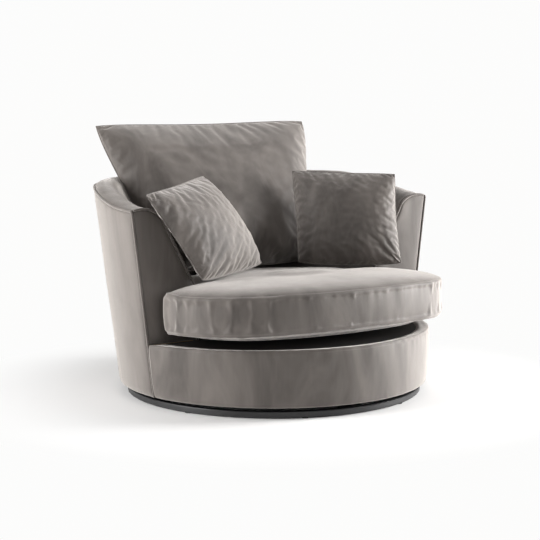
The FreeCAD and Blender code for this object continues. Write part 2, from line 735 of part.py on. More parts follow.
def inner_foam_section(edge, deck):
    """Padding inside the tub, which also folds over the top rail."""
    skin = COVER_T + 2 * LAYER_GAP
    foot = deck + GAP
    top, shoulder = rim_points(edge, skin)
    rail_start, rail_steps = rail_section(edge, deck)
    rail_top = rail_start[1] + LAYER_GAP
    rail_in = rail_steps[0][0][0] - LAYER_GAP
    rail_low = rail_steps[1][0][1] - LAYER_GAP
    outer = rail_start[0]
    start = (outer, rim_z(edge, skin, outer))
    steps = [
        [top, shoulder],
        [(INNER_R + skin, INNER_SLOPE_Z - 0.25 * skin)],
        [(INNER_R + skin, foot)],
        [(foam_back_r(0), foot)],
        [(foam_back_r(INNER_SLOPE_Z), INNER_SLOPE_Z)],
        [(foam_back_r(rail_low), rail_low)],
        [(rail_in, rail_low)],
        [(rail_in, rail_top)],
        [(outer, rail_top)],
    ]
    return start, steps


def outer_cover_section(edge, deck):
    """Velvet outside, turned under the bottom board."""
    top = edge - SEAM_BACK - GAP
    low = SKIRT_Z
    turn = BOTTOM_ROUND
    start = (cone_r(top), top)
    steps = [
        [(cone_r(low + turn), low + turn)],
        [(cone_r(low) - 0.3 * turn, low + 0.3 * turn), (cone_r(low) - turn, low)],
        [(cone_r(low) - HEM, low)],
        [(cone_r(low) - HEM, low + COVER_T)],
        [(cone_r(low) - turn, low + COVER_T)],
        [(cone_r(low) - 0.3 * turn - 0.7 * COVER_T, low + 0.3 * turn + 0.7 * COVER_T),
         (cone_r(low + turn) - COVER_T, low + turn)],
        [(cone_r(top) - COVER_T, top)],
    ]
    return start, steps


def layer_section(inset, thickness, edge):
    """Plain layer under the outer cover, from the skirt to the rim."""
    low = SKIRT_Z + BOTTOM_ROUND + 2.0
    top = edge - PIPING_R - GAP - 1.0
    start = (cone_r(top) - inset, top)
    steps = [[(cone_r(low) - inset, low)], [(cone_r(low) - inset - thickness, low)],
             [(cone_r(top) - inset - thickness, top)]]
    return start, steps


def wadding_section(edge, deck):
    return layer_section(COVER_T + LAYER_GAP, WADDING, edge)


def hardboard_section(edge, deck):
    return layer_section(COVER_T + WADDING + 2 * LAYER_GAP, HARDBOARD, edge)


def drum_cover_section(angle, deck):
    """Velvet of the drum front: turned under at the bottom, rolled over onto the platform."""
    low = SKIRT_Z
    turn = BOTTOM_ROUND
    roll = DECK_ROUND
    bottom = drum_r(angle, low)
    top = drum_r(angle, deck)
    hem_r = BASE_R - HEM
    corner = 0.3
    start = (hem_r, low)
    steps = [
        [(bottom - turn, low)],
        [(bottom - corner * turn, low + corner * turn), (drum_r(angle, low + turn), low + turn)],
        [(drum_r(angle, deck - roll), deck - roll)],
        [(top - corner * roll, deck - corner * roll), (top - roll, deck)],
        [(LIP_R, deck)],
        [(LIP_R, deck - COVER_T)],
        [(top - roll, deck - COVER_T)],
        [(top - corner * roll - 0.7 * COVER_T, deck - corner * roll - 0.7 * COVER_T),
         (drum_r(angle, deck - roll) - COVER_T, deck - roll)],
        [(drum_r(angle, low + turn) - COVER_T, low + turn)],
        [(bottom - corner * turn - 0.7 * COVER_T, low + corner * turn + 0.7 * COVER_T),
         (bottom - turn, low + COVER_T)],
        [(hem_r, low + COVER_T)],
    ]
    return start, steps


def drum_pad_section(angle, deck):
    """Thin foam behind the drum front's velvet."""
    inset = COVER_T + GAP
    low = SKIRT_Z + BOTTOM_ROUND + 1.0
    high = deck - DECK_ROUND
    start = (drum_r(angle, low) - inset, low)
    steps = [[(drum_r(angle, high) - inset, high)], [(drum_r(angle, high) - inset - FRONT_PAD_T, high)],
             [(drum_r(angle, low) - inset - FRONT_PAD_T, low)]]
    return start, steps


def seam_x(r):
    """Where a circle of this radius crosses the plane of the arm fronts."""
    return math.sqrt(r * r - ARM_FRONT_Y * ARM_FRONT_Y)


def outer_piping():
    """Piping from the floor edge up each arm front and round the top seam."""
    y = ARM_FRONT_Y + PIPING_SUNK
    corner_z = EDGE_FRONT_Z - PIPING_SUNK - PIPING_BEND
    right = []
    for z in (SKIRT_Z + 2.0, corner_z):
        right.append(Vector(seam_x(cone_r(z) - PIPING_SUNK), y, z))
    for turn in (15.0, 30.0, 45.0, 60.0, 75.0):
        z = corner_z + PIPING_BEND * math.sin(math.radians(turn))
        back = PIPING_BEND * (1 - math.cos(math.radians(turn)))
        r = cone_r(z) - PIPING_SUNK
        right.append(Vector(math.sqrt(r * r - (y + back) ** 2), y + back, z))
    rim = []
    for index in range(15):
        angle = 85.0 + 190.0 * index / 14
        z = edge_z(-RIM_R * math.cos(math.radians(angle))) - PIPING_SUNK
        rim.append(at(angle, cone_r(z) - PIPING_SUNK, z))
    left = [Vector(-point.x, point.y, point.z) for point in reversed(right)]
    climb = cord(right + rim[:1], PIPING_R, True, None, rim[1])
    round_back = cord(rim, PIPING_R, False, right[-1], left[0])
    fall = cord(rim[-1:] + left, PIPING_R, True, rim[-2], None)
    return climb.fuse([round_back, fall])


def arm_piping():
    """Piping along the inner and top edge of the right arm front."""
    y = ARM_FRONT_Y + PIPING_SUNK
    edge = EDGE_FRONT_Z
    shoulder = edge - SHOULDER
    straight = [ARM_FOOT_Z, 280.0, 340.0]
    slope = [INNER_SLOPE_Z + 22.0, 450.0, 530.0, 590.0]
    pairs = [(inner_r(z) + PIPING_SUNK, z) for z in straight + slope]
    pairs.append((inner_r(shoulder) + PIPING_SUNK, shoulder - 2.0))
    last = cone_r(edge) - 2 * PIPING_R - GAP
    first = inner_r(shoulder) + 14.0
    for share in (0.0, 0.25, 0.5, 0.75, 1.0):
        r = first + (last - first) * share
        pairs.append((r, rim_z(edge, PIPING_SUNK, r)))
    return cord([Vector(seam_x(r), y, z) for r, z in pairs], PIPING_R)


def dust_cover():
    return disc(BASE_R - HEM - 2.0, DUST_T, BOARD_Z - DUST_T - TOUCH, PLATE_R + 4.0)


def dust_cover_staples():
    """Wire staples through the dust cover into the bottom board."""
    z = BOARD_Z - 2 * DUST_T - 2 * TOUCH
    start = Vector(BASE_R - HEM - 12.5, -STAPLE_W / 2, z)
    crown = Part.makeBox(1.0, STAPLE_W, DUST_T, start)
    leg = Part.makeBox(1.0, DUST_T, STAPLE_LEG, start)
    other = leg.translated(Vector(0, STAPLE_W - DUST_T, 0))
    staple = crown.fuse([leg, other]).removeSplitter()
    return Part.makeCompound(around(staple, STAPLE_COUNT, 180.0 / STAPLE_COUNT))


# Loose cushions


def seat_outline(scale, swell, skin, z):
    """T-shaped plan: rounded front with ears before the arms, round neck between them."""
    def move(x, y):
        return Vector(x * scale, SEAT_CENTRE_Y + (y - SEAT_CENTRE_Y) * scale, z)
    grow = swell - skin
    half = SEAT_HALF_W + grow
    neck = SEAT_NECK_R + swell * SEAT_HELD - skin
    ear_y = SEAT_EAR_Y + swell * SEAT_HELD - skin
    neck_x = math.sqrt(neck ** 2 - ear_y ** 2)
    round_r = SEAT_EAR_ROUND
    bevel = round_r * (1 - math.sqrt(0.5))
    g = grow * 0.75
    right = [
        (SEAT_SHOULDER_X + grow * 0.35, SEAT_SHOULDER_Y - grow * 0.94),
        (SEAT_CHEEK_X + g, SEAT_CHEEK_Y - g), (half, SEAT_SIDE_Y),
        (half, ear_y - round_r), (half - bevel, ear_y - bevel), (half - round_r, ear_y),
        (neck_x, ear_y), (neck * 0.9397, neck * 0.3420), (0.0, neck)]
    p = [move(x, y) for x, y in right]
    m = [move(-x, y) for x, y in right]
    front = move(0.0, SEAT_FRONT_Y - grow)
    edges = [
        Part.Arc(m[0], front, p[0]).toShape(),
        Part.Arc(p[0], p[1], p[2]).toShape(),
        Part.makeLine(p[2], p[3]),
        Part.Arc(p[3], p[4], p[5]).toShape(),
        Part.makeLine(p[5], p[6]),
        Part.Arc(p[6], p[7], p[8]).toShape(),
        Part.Arc(p[8], m[7], m[6]).toShape(),
        Part.makeLine(m[6], m[5]),
        Part.Arc(m[5], m[4], m[3]).toShape(),
        Part.makeLine(m[3], m[2]),
        Part.Arc(m[2], m[1], m[0]).toShape(),
    ]
    return Part.Wire(edges)


def seat_form(skin):
    """Boxed cushion with a crowned top, a swelling border and a crowned underside."""
    top = SEAT_SEAM_Z
    low = SEAT_SEAM_Z - SEAT_BORDER
    over = SEAT_CROWN - skin
    under = SEAT_UNDER - skin
    wires = [seat_outline(s, 0.0, skin, low - under * h) for s, h in reversed(SEAT_CROWN_STEPS)]
    for share in (0.0, 0.2, 0.5, 0.8, 1.0):
        swell = SEAT_BULGE * 4 * share * (1 - share)
        wires.append(seat_outline(1.0, swell, skin, low + SEAT_BORDER * share))
    wires += [seat_outline(s, 0.0, skin, top + over * h) for s, h in SEAT_CROWN_STEPS]
    return tilt(Part.makeLoft(wires, True, True), SEAT_TILT_DEG, SEAT_SEAM_Z)


def pillow_point(corners, u, v):
    """Point on the seam surface between four corners; u and v run from -1 to 1."""
    a, b, c, d = [Vector(*corner) for corner in corners]
    low = a * ((1 - u) / 2) + b * ((1 + u) / 2)
    high = d * ((1 - u) / 2) + c * ((1 + u) / 2)
    return low * ((1 - v) / 2) + high * ((1 + v) / 2)


def pillow_wire(corners, scale, lift, draw, foot, belly, flat=False):
    """Outline with round corners and drawn-in sides, moved off the seam surface."""
    drop = belly * (1 - scale)
    rim = 1.0 - draw
    low = 1.0 - foot
    near = 1.0 - PILLOW_CORNER
    tip = 1.0 - 0.3 * PILLOW_CORNER

    def place(u, v):
        return pillow_point(corners, u * scale, v * scale + drop) + lift
    sides = [((-near, -1), (0, -low), (near, -1)), ((1, -near), (rim, 0), (1, near)),
             ((near, 1), (0, rim), (-near, 1)), ((-1, near), (-rim, 0), (-1, -near))]
    tips = [(tip, -tip), (tip, tip), (-tip, tip), (-tip, -tip)]
    centre = place(0, 0)
    square = (place(1, 1) - place(-1, -1)).cross(place(-1, 1) - place(1, -1)).normalize()

    def spot(pair):
        point = place(*pair)
        if flat:
            point = point - square * (point - centre).dot(square)
        return point
    edges = []
    for index in range(4):
        first, middle, last = [spot(pair) for pair in sides[index]]
        after = spot(sides[(index + 1) % 4][0])
        edges.append(Part.Arc(first, middle, last).toShape())
        edges.append(Part.Arc(last, spot(tips[index]), after).toShape())
    return Part.Wire(edges)


def pillow(corners, front, back, draw, foot, belly, skin):
    """Knife-edged cushion; front and back say how far its fullest place stands off the seam."""
    a, b, c, d = [Vector(*corner) for corner in corners]
    width = ((b + c) - (a + d)).Length / 2
    shrink = 1.0 - 2 * skin / width
    ahead = front * (1 - skin / front.Length)
    behind = back * (1 - skin / back.Length)
    wires = [pillow_wire(corners, s * shrink, ahead * h, draw, foot, belly, index == 0)
             for index, (s, h) in enumerate(PILLOW_STEPS)]
    wires.append(pillow_wire(corners, shrink, Vector(0, 0, 0), draw, foot, belly))
    for index in range(len(PILLOW_STEPS) - 1, -1, -1):
        s, h = PILLOW_STEPS[index]
        wires.append(pillow_wire(corners, s * shrink, behind * h, draw, foot, belly, index == 0))
    return Part.makeLoft(wires, True, True)


def facing(corners):
    """Direction in which a cushion faces, square to its seam."""
    a, b, c, d = [Vector(*corner) for corner in corners]
    return ((b + c) - (a + d)).cross((c + d) - (a + b)).normalize()


def back_corners():
    x, y, z = BACK_BOTTOM
    top_x, top_y, top_z = BACK_TOP
    return [(-x, y, z), (x, y, z), (top_x, top_y, top_z), (-top_x, top_y, top_z)]


def clothed(form):
    """Cover shell and filling from a cushion form that takes a skin thickness."""
    cover = form(0.0).cut(form(COVER_T))
    return cover, form(COVER_T + FILLING_GAP)


def bar(a, b, up, across, low, high):
    """Bar along a line from a to b, from low to high along up, reaching out across."""
    points = [a + up * low, b + up * low, b + up * high, a + up * high]
    face = Part.Face(Part.makePolygon(points + [points[0]]))
    return face.extrude(across)


def with_zip(cover, a, b, up, across, low):
    """Cut the strip of a zip out of a cover along the line from a to b; return both."""
    along = (b - a).normalize()
    strip = bar(a, b, up, across, low, low + ZIP_H)
    room = bar(a - along * ZIP_ROOM, b + along * ZIP_ROOM, up, across, low - ZIP_ROOM,
               low + ZIP_H + ZIP_ROOM)
    return cover.cut(room), cover.common(strip)


def pillow_zip(cover, corners, foot):
    """Zip just above the lower seam on the hidden side of a knife-edged cushion."""
    a, b, c, d = [Vector(*corner) for corner in corners]
    along = (b - a) * ZIP_SHARE
    middle = (a + b) * 0.5
    height = (c + d) * 0.5 - middle
    away = facing(corners) * -1.0
    up = height - away * height.dot(away)
    low = foot * up.Length / 2 + ZIP_INSET
    up = up.normalize()
    return with_zip(cover, middle - along * 0.5, middle + along * 0.5, up, away * ZIP_REACH, low)


def build_base():
    save(base_ring(), "base_ring")
    save(base_glides(), "base_glides")
    save(base_arms(), "base_arms")
    save(base_hub(), "base_hub")
    save(swivel_lower_plate(), "swivel_lower_plate")
    save(lower_plate_screws(), "lower_plate_screws")
    save(bearing_balls(), "bearing_balls")
    save(ball_cage(), "ball_cage")
    save(pivot_bolt(), "pivot_bolt")
    save(pivot_bush(), "pivot_bush")
    save(pivot_washer(), "pivot_washer")
    save(pivot_nut(), "pivot_nut")


def build_frame():
    save(swivel_upper_plate(), "swivel_upper_plate")
    save(upper_plate_screws(), "upper_plate_screws")
    save(bottom_board(), "bottom_board")
    save(frame_blocks(), "frame_blocks")
    save(seat_rail(), "seat_rail")
    save(frame_ribs(), "frame_ribs")
    save(wall_loft(rail_section, STRUCTURE_Y), "top_rail")
    for name, board in zip(("right", "left"), both_sides(arm_front_board())):
        save(board, "arm_front_board_" + name)
    save(drum_loft(plinth_section, ARM_FRONT_Y - 6.0), "plinth_panel")
    save(seat_springs(), "seat_springs")
    save(spring_clips(), "spring_clips")
    save(elastic_webbing(), "elastic_webbing")
    save(wall_loft(hardboard_section, STRUCTURE_Y), "outer_hardboard")


def build_upholstery():
    save(platform(FELT_T, FELT_Z, LIP_R - 6.0, 4.0), "platform_felt")
    save(platform(CLOTH_T, CLOTH_Z, LIP_R - GAP, 1.0), "platform_cloth")
    save(wall_loft(inner_foam_section, STRUCTURE_Y), "inner_foam")
    save(wall_loft(wadding_section, STRUCTURE_Y), "outer_wadding")
    save(wall_loft(outer_cover_section, COVER_Y), "outer_cover")
    save(wall_loft(inner_cover_section, COVER_Y), "inner_cover")
    pad = arm_plate(FACE_INSET + GAP, ARM_FOOT_Z, PAD_Y, ARM_PAD_T)
    face = arm_plate(FACE_INSET, ARM_FOOT_Z, ARM_FRONT_Y, COVER_T)
    for name, piece in zip(("right", "left"), both_sides(pad)):
        save(piece, "arm_front_pad_" + name)
    for name, piece in zip(("right", "left"), both_sides(face)):
        save(piece, "arm_front_cover_" + name)
    save(drum_loft(drum_pad_section, ARM_FRONT_Y - 6.0), "drum_front_pad")
    save(drum_loft(drum_cover_section, ARM_FRONT_Y - 5.0), "drum_front_cover")
    save(outer_piping(), "outer_piping")
    for name, piece in zip(("right", "left"), both_sides(arm_piping())):
        save(piece, "arm_piping_" + name)
    save(dust_cover(), "dust_cover")
    save(dust_cover_staples(), "dust_cover_staples")


def build_seat_cushion():
    cover, foam = clothed(seat_form)
    zip_z = SEAT_SEAM_Z - SEAT_BORDER / 2 - SEAT_NECK_R * math.tan(math.radians(SEAT_TILT_DEG)) - ZIP_H / 2
    half = SEAT_NECK_R * ZIP_SHARE
    start = Vector(-half, SEAT_NECK_R / 2, 0.0)
    end = Vector(half, SEAT_NECK_R / 2, 0.0)
    cover, strip = with_zip(cover, start, end, UP, Vector(0, ZIP_REACH, 0), zip_z)
    save(cover, "seat_cushion_cover")
    save(strip, "seat_cushion_zip")
    save(foam, "seat_cushion_foam")


def build_pillow(name, corners, front, back, draw, foot, belly):
    """Knife-edged cushion as a zipped cover with its filling."""
    def form(skin):
        return pillow(corners, front, back, draw, foot, belly, skin)
    cover, filling = clothed(form)
    cover, strip = pillow_zip(cover, corners, foot)
    save(cover, name + "_cover")
    save(strip, name + "_zip")
    save(filling, name + "_filling")


def build_cushions():
    build_seat_cushion()
    build_pillow("back_cushion", back_corners(), Vector(0, -BACK_FRONT, 0), Vector(0, BACK_REAR, 0),
                 BACK_WAIST, BACK_WAIST, BACK_BELLY)
    for name, corners in (("scatter_right", RIGHT_CORNERS), ("scatter_left", LEFT_CORNERS)):
        ahead = facing(corners) * SCATTER_FRONT
        behind = facing(corners) * -SCATTER_REAR
        build_pillow(name, corners, ahead, behind, SCATTER_DRAW, SCATTER_FOOT, SCATTER_BELLY)


os.makedirs("parts", exist_ok=True)
build_base()
build_frame()
build_upholstery()
build_cushions()
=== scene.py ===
import math
import json
import bpy
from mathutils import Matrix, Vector, noise


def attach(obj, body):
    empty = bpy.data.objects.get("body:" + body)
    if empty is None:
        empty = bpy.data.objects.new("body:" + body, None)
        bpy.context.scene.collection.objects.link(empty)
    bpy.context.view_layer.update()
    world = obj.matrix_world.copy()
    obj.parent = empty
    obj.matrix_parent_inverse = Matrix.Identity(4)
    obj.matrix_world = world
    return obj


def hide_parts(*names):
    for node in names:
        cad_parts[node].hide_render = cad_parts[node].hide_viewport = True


# Looks of the swivel cuddle chair, in metres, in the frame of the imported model.
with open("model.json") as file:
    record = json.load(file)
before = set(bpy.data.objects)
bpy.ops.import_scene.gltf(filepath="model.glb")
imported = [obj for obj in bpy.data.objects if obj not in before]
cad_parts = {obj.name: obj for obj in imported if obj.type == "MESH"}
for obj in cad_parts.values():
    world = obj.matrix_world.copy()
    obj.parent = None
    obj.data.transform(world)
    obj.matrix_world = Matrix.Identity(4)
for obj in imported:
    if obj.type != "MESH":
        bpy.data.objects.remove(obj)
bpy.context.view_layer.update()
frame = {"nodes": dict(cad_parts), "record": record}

# The tub's driving sizes, the same as the solids have
BASE_R = 0.527
RIM_R = 0.600
RIM_Z = 0.635
SKIRT_Z = 0.0365
EDGE_FRONT_Z = 0.641
EDGE_BACK_Z = 0.698
EDGE_RISE_END_Y = 0.345
CROWN_FRONT = 0.006
CROWN_BACK = 0.014
SHOULDER = 0.020
INNER_R = 0.365
INNER_SLOPE_Z = 0.369
INNER_SLOPE = 0.519
FACE_Y = -0.085
FRONT_R = 0.521
FLARE_POWER = 2.3
DRUM_END = math.radians(81.0)
DECK_Z = 0.208
DECK_SLOPE = math.tan(math.radians(1.28))
LIP_R = 0.487
HEM = 0.030
PIPING_R = 0.0037
CONE_SLOPE = (RIM_R - BASE_R) / (RIM_Z - SKIRT_Z)

# The seat cushion
SEAT_TILT = math.radians(2.96)
SEAT_SEAM_Z = 0.369
SEAT_BORDER = 0.119
SEAT_CROWN = 0.044
SEAT_UNDER = 0.037
SEAT_BULGE = 0.009
SEAT_CENTRE = (0.0, -0.150)

# Simulation
FRAMES = 20
SEED = Vector((3.7, 11.3, 5.1))


def smooth(share):
    share = min(1.0, max(0.0, share))
    return share * share * (3 - 2 * share)


def ripple(point, scale):
    """Smooth noise between -1 and 1 at a point, with waves about 1/scale metres long."""
    return noise.noise(Vector(point) * scale + SEED)


def cone_r(z):
    return BASE_R + CONE_SLOPE * (z - SKIRT_Z)


def inner_r(z):
    return INNER_R + INNER_SLOPE * max(0.0, z - INNER_SLOPE_Z)


def edge_z(y):
    return EDGE_FRONT_Z + (EDGE_BACK_Z - EDGE_FRONT_Z) * smooth((y - FACE_Y) / (EDGE_RISE_END_Y - FACE_Y))


def drum_r(angle, z):
    share = min(1.0, abs(angle) / DRUM_END) ** FLARE_POWER
    return FRONT_R + (cone_r(z) - FRONT_R) * share


def deck_height(y):
    return DECK_Z - DECK_SLOPE * y


def at(angle, radius, z):
    """A point at an angle from the front, turning towards +X."""
    return Vector((radius * math.sin(angle), -radius * math.cos(angle), z))


def rim_circle(edge):
    """Centre and radius of the rim's crown, from the outer seam over the top to the shoulder."""
    crown = CROWN_FRONT + (CROWN_BACK - CROWN_FRONT) * (edge - EDGE_FRONT_Z) / (EDGE_BACK_Z - EDGE_FRONT_Z)
    shoulder = edge - SHOULDER
    a = (cone_r(edge) - 0.0045, edge + 0.0015)
    b = ((cone_r(edge) + inner_r(edge)) / 2, edge + crown)
    c = (inner_r(shoulder), shoulder)
    d = 2 * (a[0] * (b[1] - c[1]) + b[0] * (c[1] - a[1]) + c[0] * (a[1] - b[1]))
    sq = [p[0] ** 2 + p[1] ** 2 for p in (a, b, c)]
    x = (sq[0] * (b[1] - c[1]) + sq[1] * (c[1] - a[1]) + sq[2] * (a[1] - b[1])) / d
    z = (sq[0] * (c[0] - b[0]) + sq[1] * (a[0] - c[0]) + sq[2] * (b[0] - a[0])) / d
    return x, z, math.hypot(a[0] - x, a[1] - z), a, c


def mesh_object(name, verts, faces):
    mesh = bpy.data.meshes.new(name)
    mesh.from_pydata([tuple(v) for v in verts], [], faces)
    mesh.validate()
    obj = bpy.data.objects.new(name, mesh)
    bpy.context.scene.collection.objects.link(obj)
    for polygon in mesh.polygons:
        polygon.use_smooth = True
    return obj


def sheet_object(name, rows, thickness=0.0015):
    """Cloth through rows of points, with its thickness on the side away from its normals."""
    across = len(rows[0])
    verts = [point for row in rows for point in row]
    faces = []
    for j in range(len(rows) - 1):
        for i in range(across - 1):
            k = j * across + i
            faces.append((k, k + 1, k + across + 1, k + across))
    obj = mesh_object(name, verts, faces)
    solid = obj.modifiers.new("thickness", "SOLIDIFY")
    solid.thickness = thickness
    solid.offset = -1.0
    return obj


def closed_rings(name, rings, first, last):
    """Closed form from rings of points between two end points."""
    count = len(rings[0])
    verts = [first] + [p for ring in rings for p in ring] + [last]
    faces = []
    for i in range(count):
        j = (i + 1) % count
        faces.append((0, 1 + i, 1 + j))
        for k in range(len(rings) - 1):
            a = 1 + k * count
            b = a + count
            faces.append((a + i, b + i, b + j, a + j))
        a = 1 + (len(rings) - 1) * count
        faces.append((a + i, len(verts) - 1, a + j))
    return mesh_object(name, verts, faces)


def spline_points(points, step, closed=False):
    """Points about a step apart on a smooth line through the given points."""
    count = len(points)
    out = []
    for i in range(count if closed else count - 1):
        if closed:
            p = [points[(i + k - 1) % count] for k in range(4)]
        else:
            p = [points[max(0, i - 1)], points[i], points[i + 1], points[min(count - 1, i + 2)]]
        n = max(1, round((p[2] - p[1]).length / step))
        for k in range(n):
            t = k / n
            out.append(0.5 * (2 * p[1] + (p[2] - p[0]) * t + (2 * p[0] - 5 * p[1] + 4 * p[2] - p[3]) * t * t
                              + (3 * p[1] - p[0] - 3 * p[2] + p[3]) * t * t * t))
    if not closed:
        out.append(points[-1].copy())
    return out


def welt(name, points, radius, closed=False, sides=10, wave=0.06):
    """Sewn cord along a line of close points, a little uneven as cloth over a cord is."""
    count = len(points)
    verts = []
    normal = None
    for i, point in enumerate(points):
        before = points[i - 1] if i or closed else point
        after = points[(i + 1) % count] if i < count - 1 or closed else point
        along = (after - before).normalized()
        if normal is None:
            normal = along.orthogonal().normalized()
        normal = (normal - along * normal.dot(along)).normalized()
        side = along.cross(normal)
        r = radius * (1 + wave * ripple(point, 90.0))
        for k in range(sides):
            a = 2 * math.pi * k / sides
            verts.append(point + normal * (r * math.cos(a)) + side * (r * math.sin(a)))
    faces = []
    for i in range(count if closed else count - 1):
        j = (i + 1) % count
        for k in range(sides):
            m = (k + 1) % sides
            faces.append((i * sides + k, i * sides + m, j * sides + m, j * sides + k))
    if not closed:
        faces.append(tuple(range(sides - 1, -1, -1)))
        faces.append(tuple((count - 1) * sides + k for k in range(sides)))
    return mesh_object(name, verts, faces)


# Materials


def new_material(name):
    material = bpy.data.materials.new(name)
    material.use_nodes = True
    nodes = material.node_tree.nodes
    return material, nodes, material.node_tree.links, nodes["Principled BSDF"]


def object_coords(nodes, links, scale=(1.0, 1.0, 1.0), turn=(0.0, 0.0, 0.0)):
    coords = nodes.new("ShaderNodeTexCoord")
    mapping = nodes.new("ShaderNodeMapping")
    mapping.inputs["Scale"].default_value = scale
    mapping.inputs["Rotation"].default_value = turn
    links.new(coords.outputs["Object"], mapping.inputs["Vector"])
    return mapping.outputs["Vector"]


def noise_node(nodes, links, vector, scale, detail=3.0, rough=0.5, distort=0.0):
    node = nodes.new("ShaderNodeTexNoise")
    node.inputs["Scale"].default_value = scale
    node.inputs["Detail"].default_value = detail
    node.inputs["Roughness"].default_value = rough
    node.inputs["Distortion"].default_value = distort
    links.new(vector, node.inputs["Vector"])
    return node.outputs["Fac"]


def remap(nodes, links, value, low, high, to_low=0.0, to_high=1.0):
    node = nodes.new("ShaderNodeMapRange")
    node.inputs["From Min"].default_value = low
    node.inputs["From Max"].default_value = high
    node.inputs["To Min"].default_value = to_low
    node.inputs["To Max"].default_value = to_high
    links.new(value, node.inputs["Value"])
    return node.outputs["Result"]


def blend_colour(nodes, links, factor, a, b):
    node = nodes.new("ShaderNodeMix")
    node.data_type = "RGBA"
    for socket, value in ((node.inputs[6], a), (node.inputs[7], b)):
        if isinstance(value, tuple):
            socket.default_value = (*value, 1.0)
        else:
            links.new(value, socket)
    if isinstance(factor, float):
        node.inputs[0].default_value = factor
    else:
        links.new(factor, node.inputs[0])
    return node.outputs[2]


def calculate(nodes, links, operation, a, b):
    node = nodes.new("ShaderNodeMath")
    node.operation = operation
    for socket, value in ((node.inputs[0], a), (node.inputs[1], b)):
        if isinstance(value, (int, float)):
            socket.default_value = value
        else:
            links.new(value, socket)
    return node.outputs[0]


def bump(nodes, links, height, strength, distance, under=None):
    node = nodes.new("ShaderNodeBump")
    node.inputs["Strength"].default_value = strength
    node.inputs["Distance"].default_value = distance
    links.new(height, node.inputs["Height"])
    if under is not None:
        links.new(under, node.inputs["Normal"])
    return node.outputs["Normal"]


def velvet(name, dark, light, pale, sheen=0.7):
    """Short pile velvet: brushed nap in soft patches, a fine grain and a painted sheen, a pale colour painted into
    the base colour at glancing angles.

    The painted sheen is cut where the surface faces up, which paints tops such as the seat darker.
    """
    material, nodes, links, shader = new_material(name)
    plain = object_coords(nodes, links)
    brushed = object_coords(nodes, links, (7.0, 7.0, 2.2), (0.25, 0.1, 0.4))
    patches = remap(nodes, links, noise_node(nodes, links, brushed, 1.3, 3.0, 0.55, 0.8), 0.32, 0.70)
    streaks = object_coords(nodes, links, (60.0, 60.0, 9.0), (0.1, 0.2, 0.3))
    strokes = noise_node(nodes, links, streaks, 1.5, 4.0, 0.6)
    grain = noise_node(nodes, links, plain, 1500.0, 2.0, 0.6)
    nap = calculate(nodes, links, "MULTIPLY_ADD", strokes, 0.35)
    links.new(patches, nap.node.inputs[2])
    nap = remap(nodes, links, nap, 0.15, 1.1)
    body = blend_colour(nodes, links, nap, dark, light)
    fleck = remap(nodes, links, grain, 0.3, 0.7, 0.0, 0.22)
    body = blend_colour(nodes, links, fleck, body, light)
    # Painted sheen: the pale colour is painted into the base colour at glancing angles, on top of the shader's own
    # sheen
    facing = nodes.new("ShaderNodeLayerWeight")
    facing.inputs["Blend"].default_value = 0.35
    painted_sheen = calculate(nodes, links, "POWER", facing.outputs["Facing"], 2.1)
    painted_sheen = remap(nodes, links, painted_sheen, 0.0, 1.0, 0.0, 0.78)
    # Painted shade on tops: the painted sheen is cut to about a fifth where the surface faces up, so tops come out
    # darker
    geometry = nodes.new("ShaderNodeNewGeometry")
    upward = nodes.new("ShaderNodeSeparateXYZ")
    links.new(geometry.outputs["Normal"], upward.inputs[0])
    painted_top_shade = remap(nodes, links, upward.outputs["Z"], 0.55, 1.0, 1.0, 0.22)
    painted_sheen = calculate(nodes, links, "MULTIPLY", painted_sheen, painted_top_shade)
    links.new(blend_colour(nodes, links, painted_sheen, body, pale), shader.inputs["Base Color"])
    links.new(remap(nodes, links, nap, 0.0, 1.0, 0.62, 0.50), shader.inputs["Roughness"])
    shader.inputs["Specular IOR Level"].default_value = 0.25
    shader.inputs["Sheen Weight"].default_value = sheen
    shader.inputs["Sheen Roughness"].default_value = 0.38
    shader.inputs["Sheen Tint"].default_value = (1.0, 0.95, 0.91, 1.0)
    crushed = noise_node(nodes, links, plain, 30.0, 3.0, 0.5, 0.3)
    soft = bump(nodes, links, crushed, 0.10, 0.002)
    links.new(bump(nodes, links, grain, 0.35, 0.0008, soft), shader.inputs["Normal"])
    return material


def woven(name, colour, other, scale=900.0):
    """Plain woven cloth."""
    material, nodes, links, shader = new_material(name)
    coords = object_coords(nodes, links)
    waves = []
    for direction in ("X", "Y"):
        wave = nodes.new("ShaderNodeTexWave")
        wave.bands_direction = direction
        wave.inputs["Scale"].default_value = scale / 20.0
        wave.inputs["Distortion"].default_value = 0.6
        links.new(coords, wave.inputs["Vector"])
        waves.append(wave.outputs["Fac"])
    weave = calculate(nodes, links, "MAXIMUM", waves[0], waves[1])
    links.new(blend_colour(nodes, links, weave, colour, other), shader.inputs["Base Color"])
    shader.inputs["Roughness"].default_value = 0.95
    shader.inputs["Specular IOR Level"].default_value = 0.1
    links.new(bump(nodes, links, weave, 0.5, 0.0006), shader.inputs["Normal"])
    return material


def wood(name, colour, other, scale=(3.0, 30.0, 30.0)):
    """Timber or board with its grain along X."""
    material, nodes, links, shader = new_material(name)
    coords = object_coords(nodes, links, scale)
    grain = noise_node(nodes, links, coords, 3.0, 8.0, 0.65, 1.2)
    links.new(blend_colour(nodes, links, grain, colour, other), shader.inputs["Base Color"])
    links.new(remap(nodes, links, grain, 0.0, 1.0, 0.5, 0.75), shader.inputs["Roughness"])
    links.new(bump(nodes, links, grain, 0.2, 0.001), shader.inputs["Normal"])
    return material


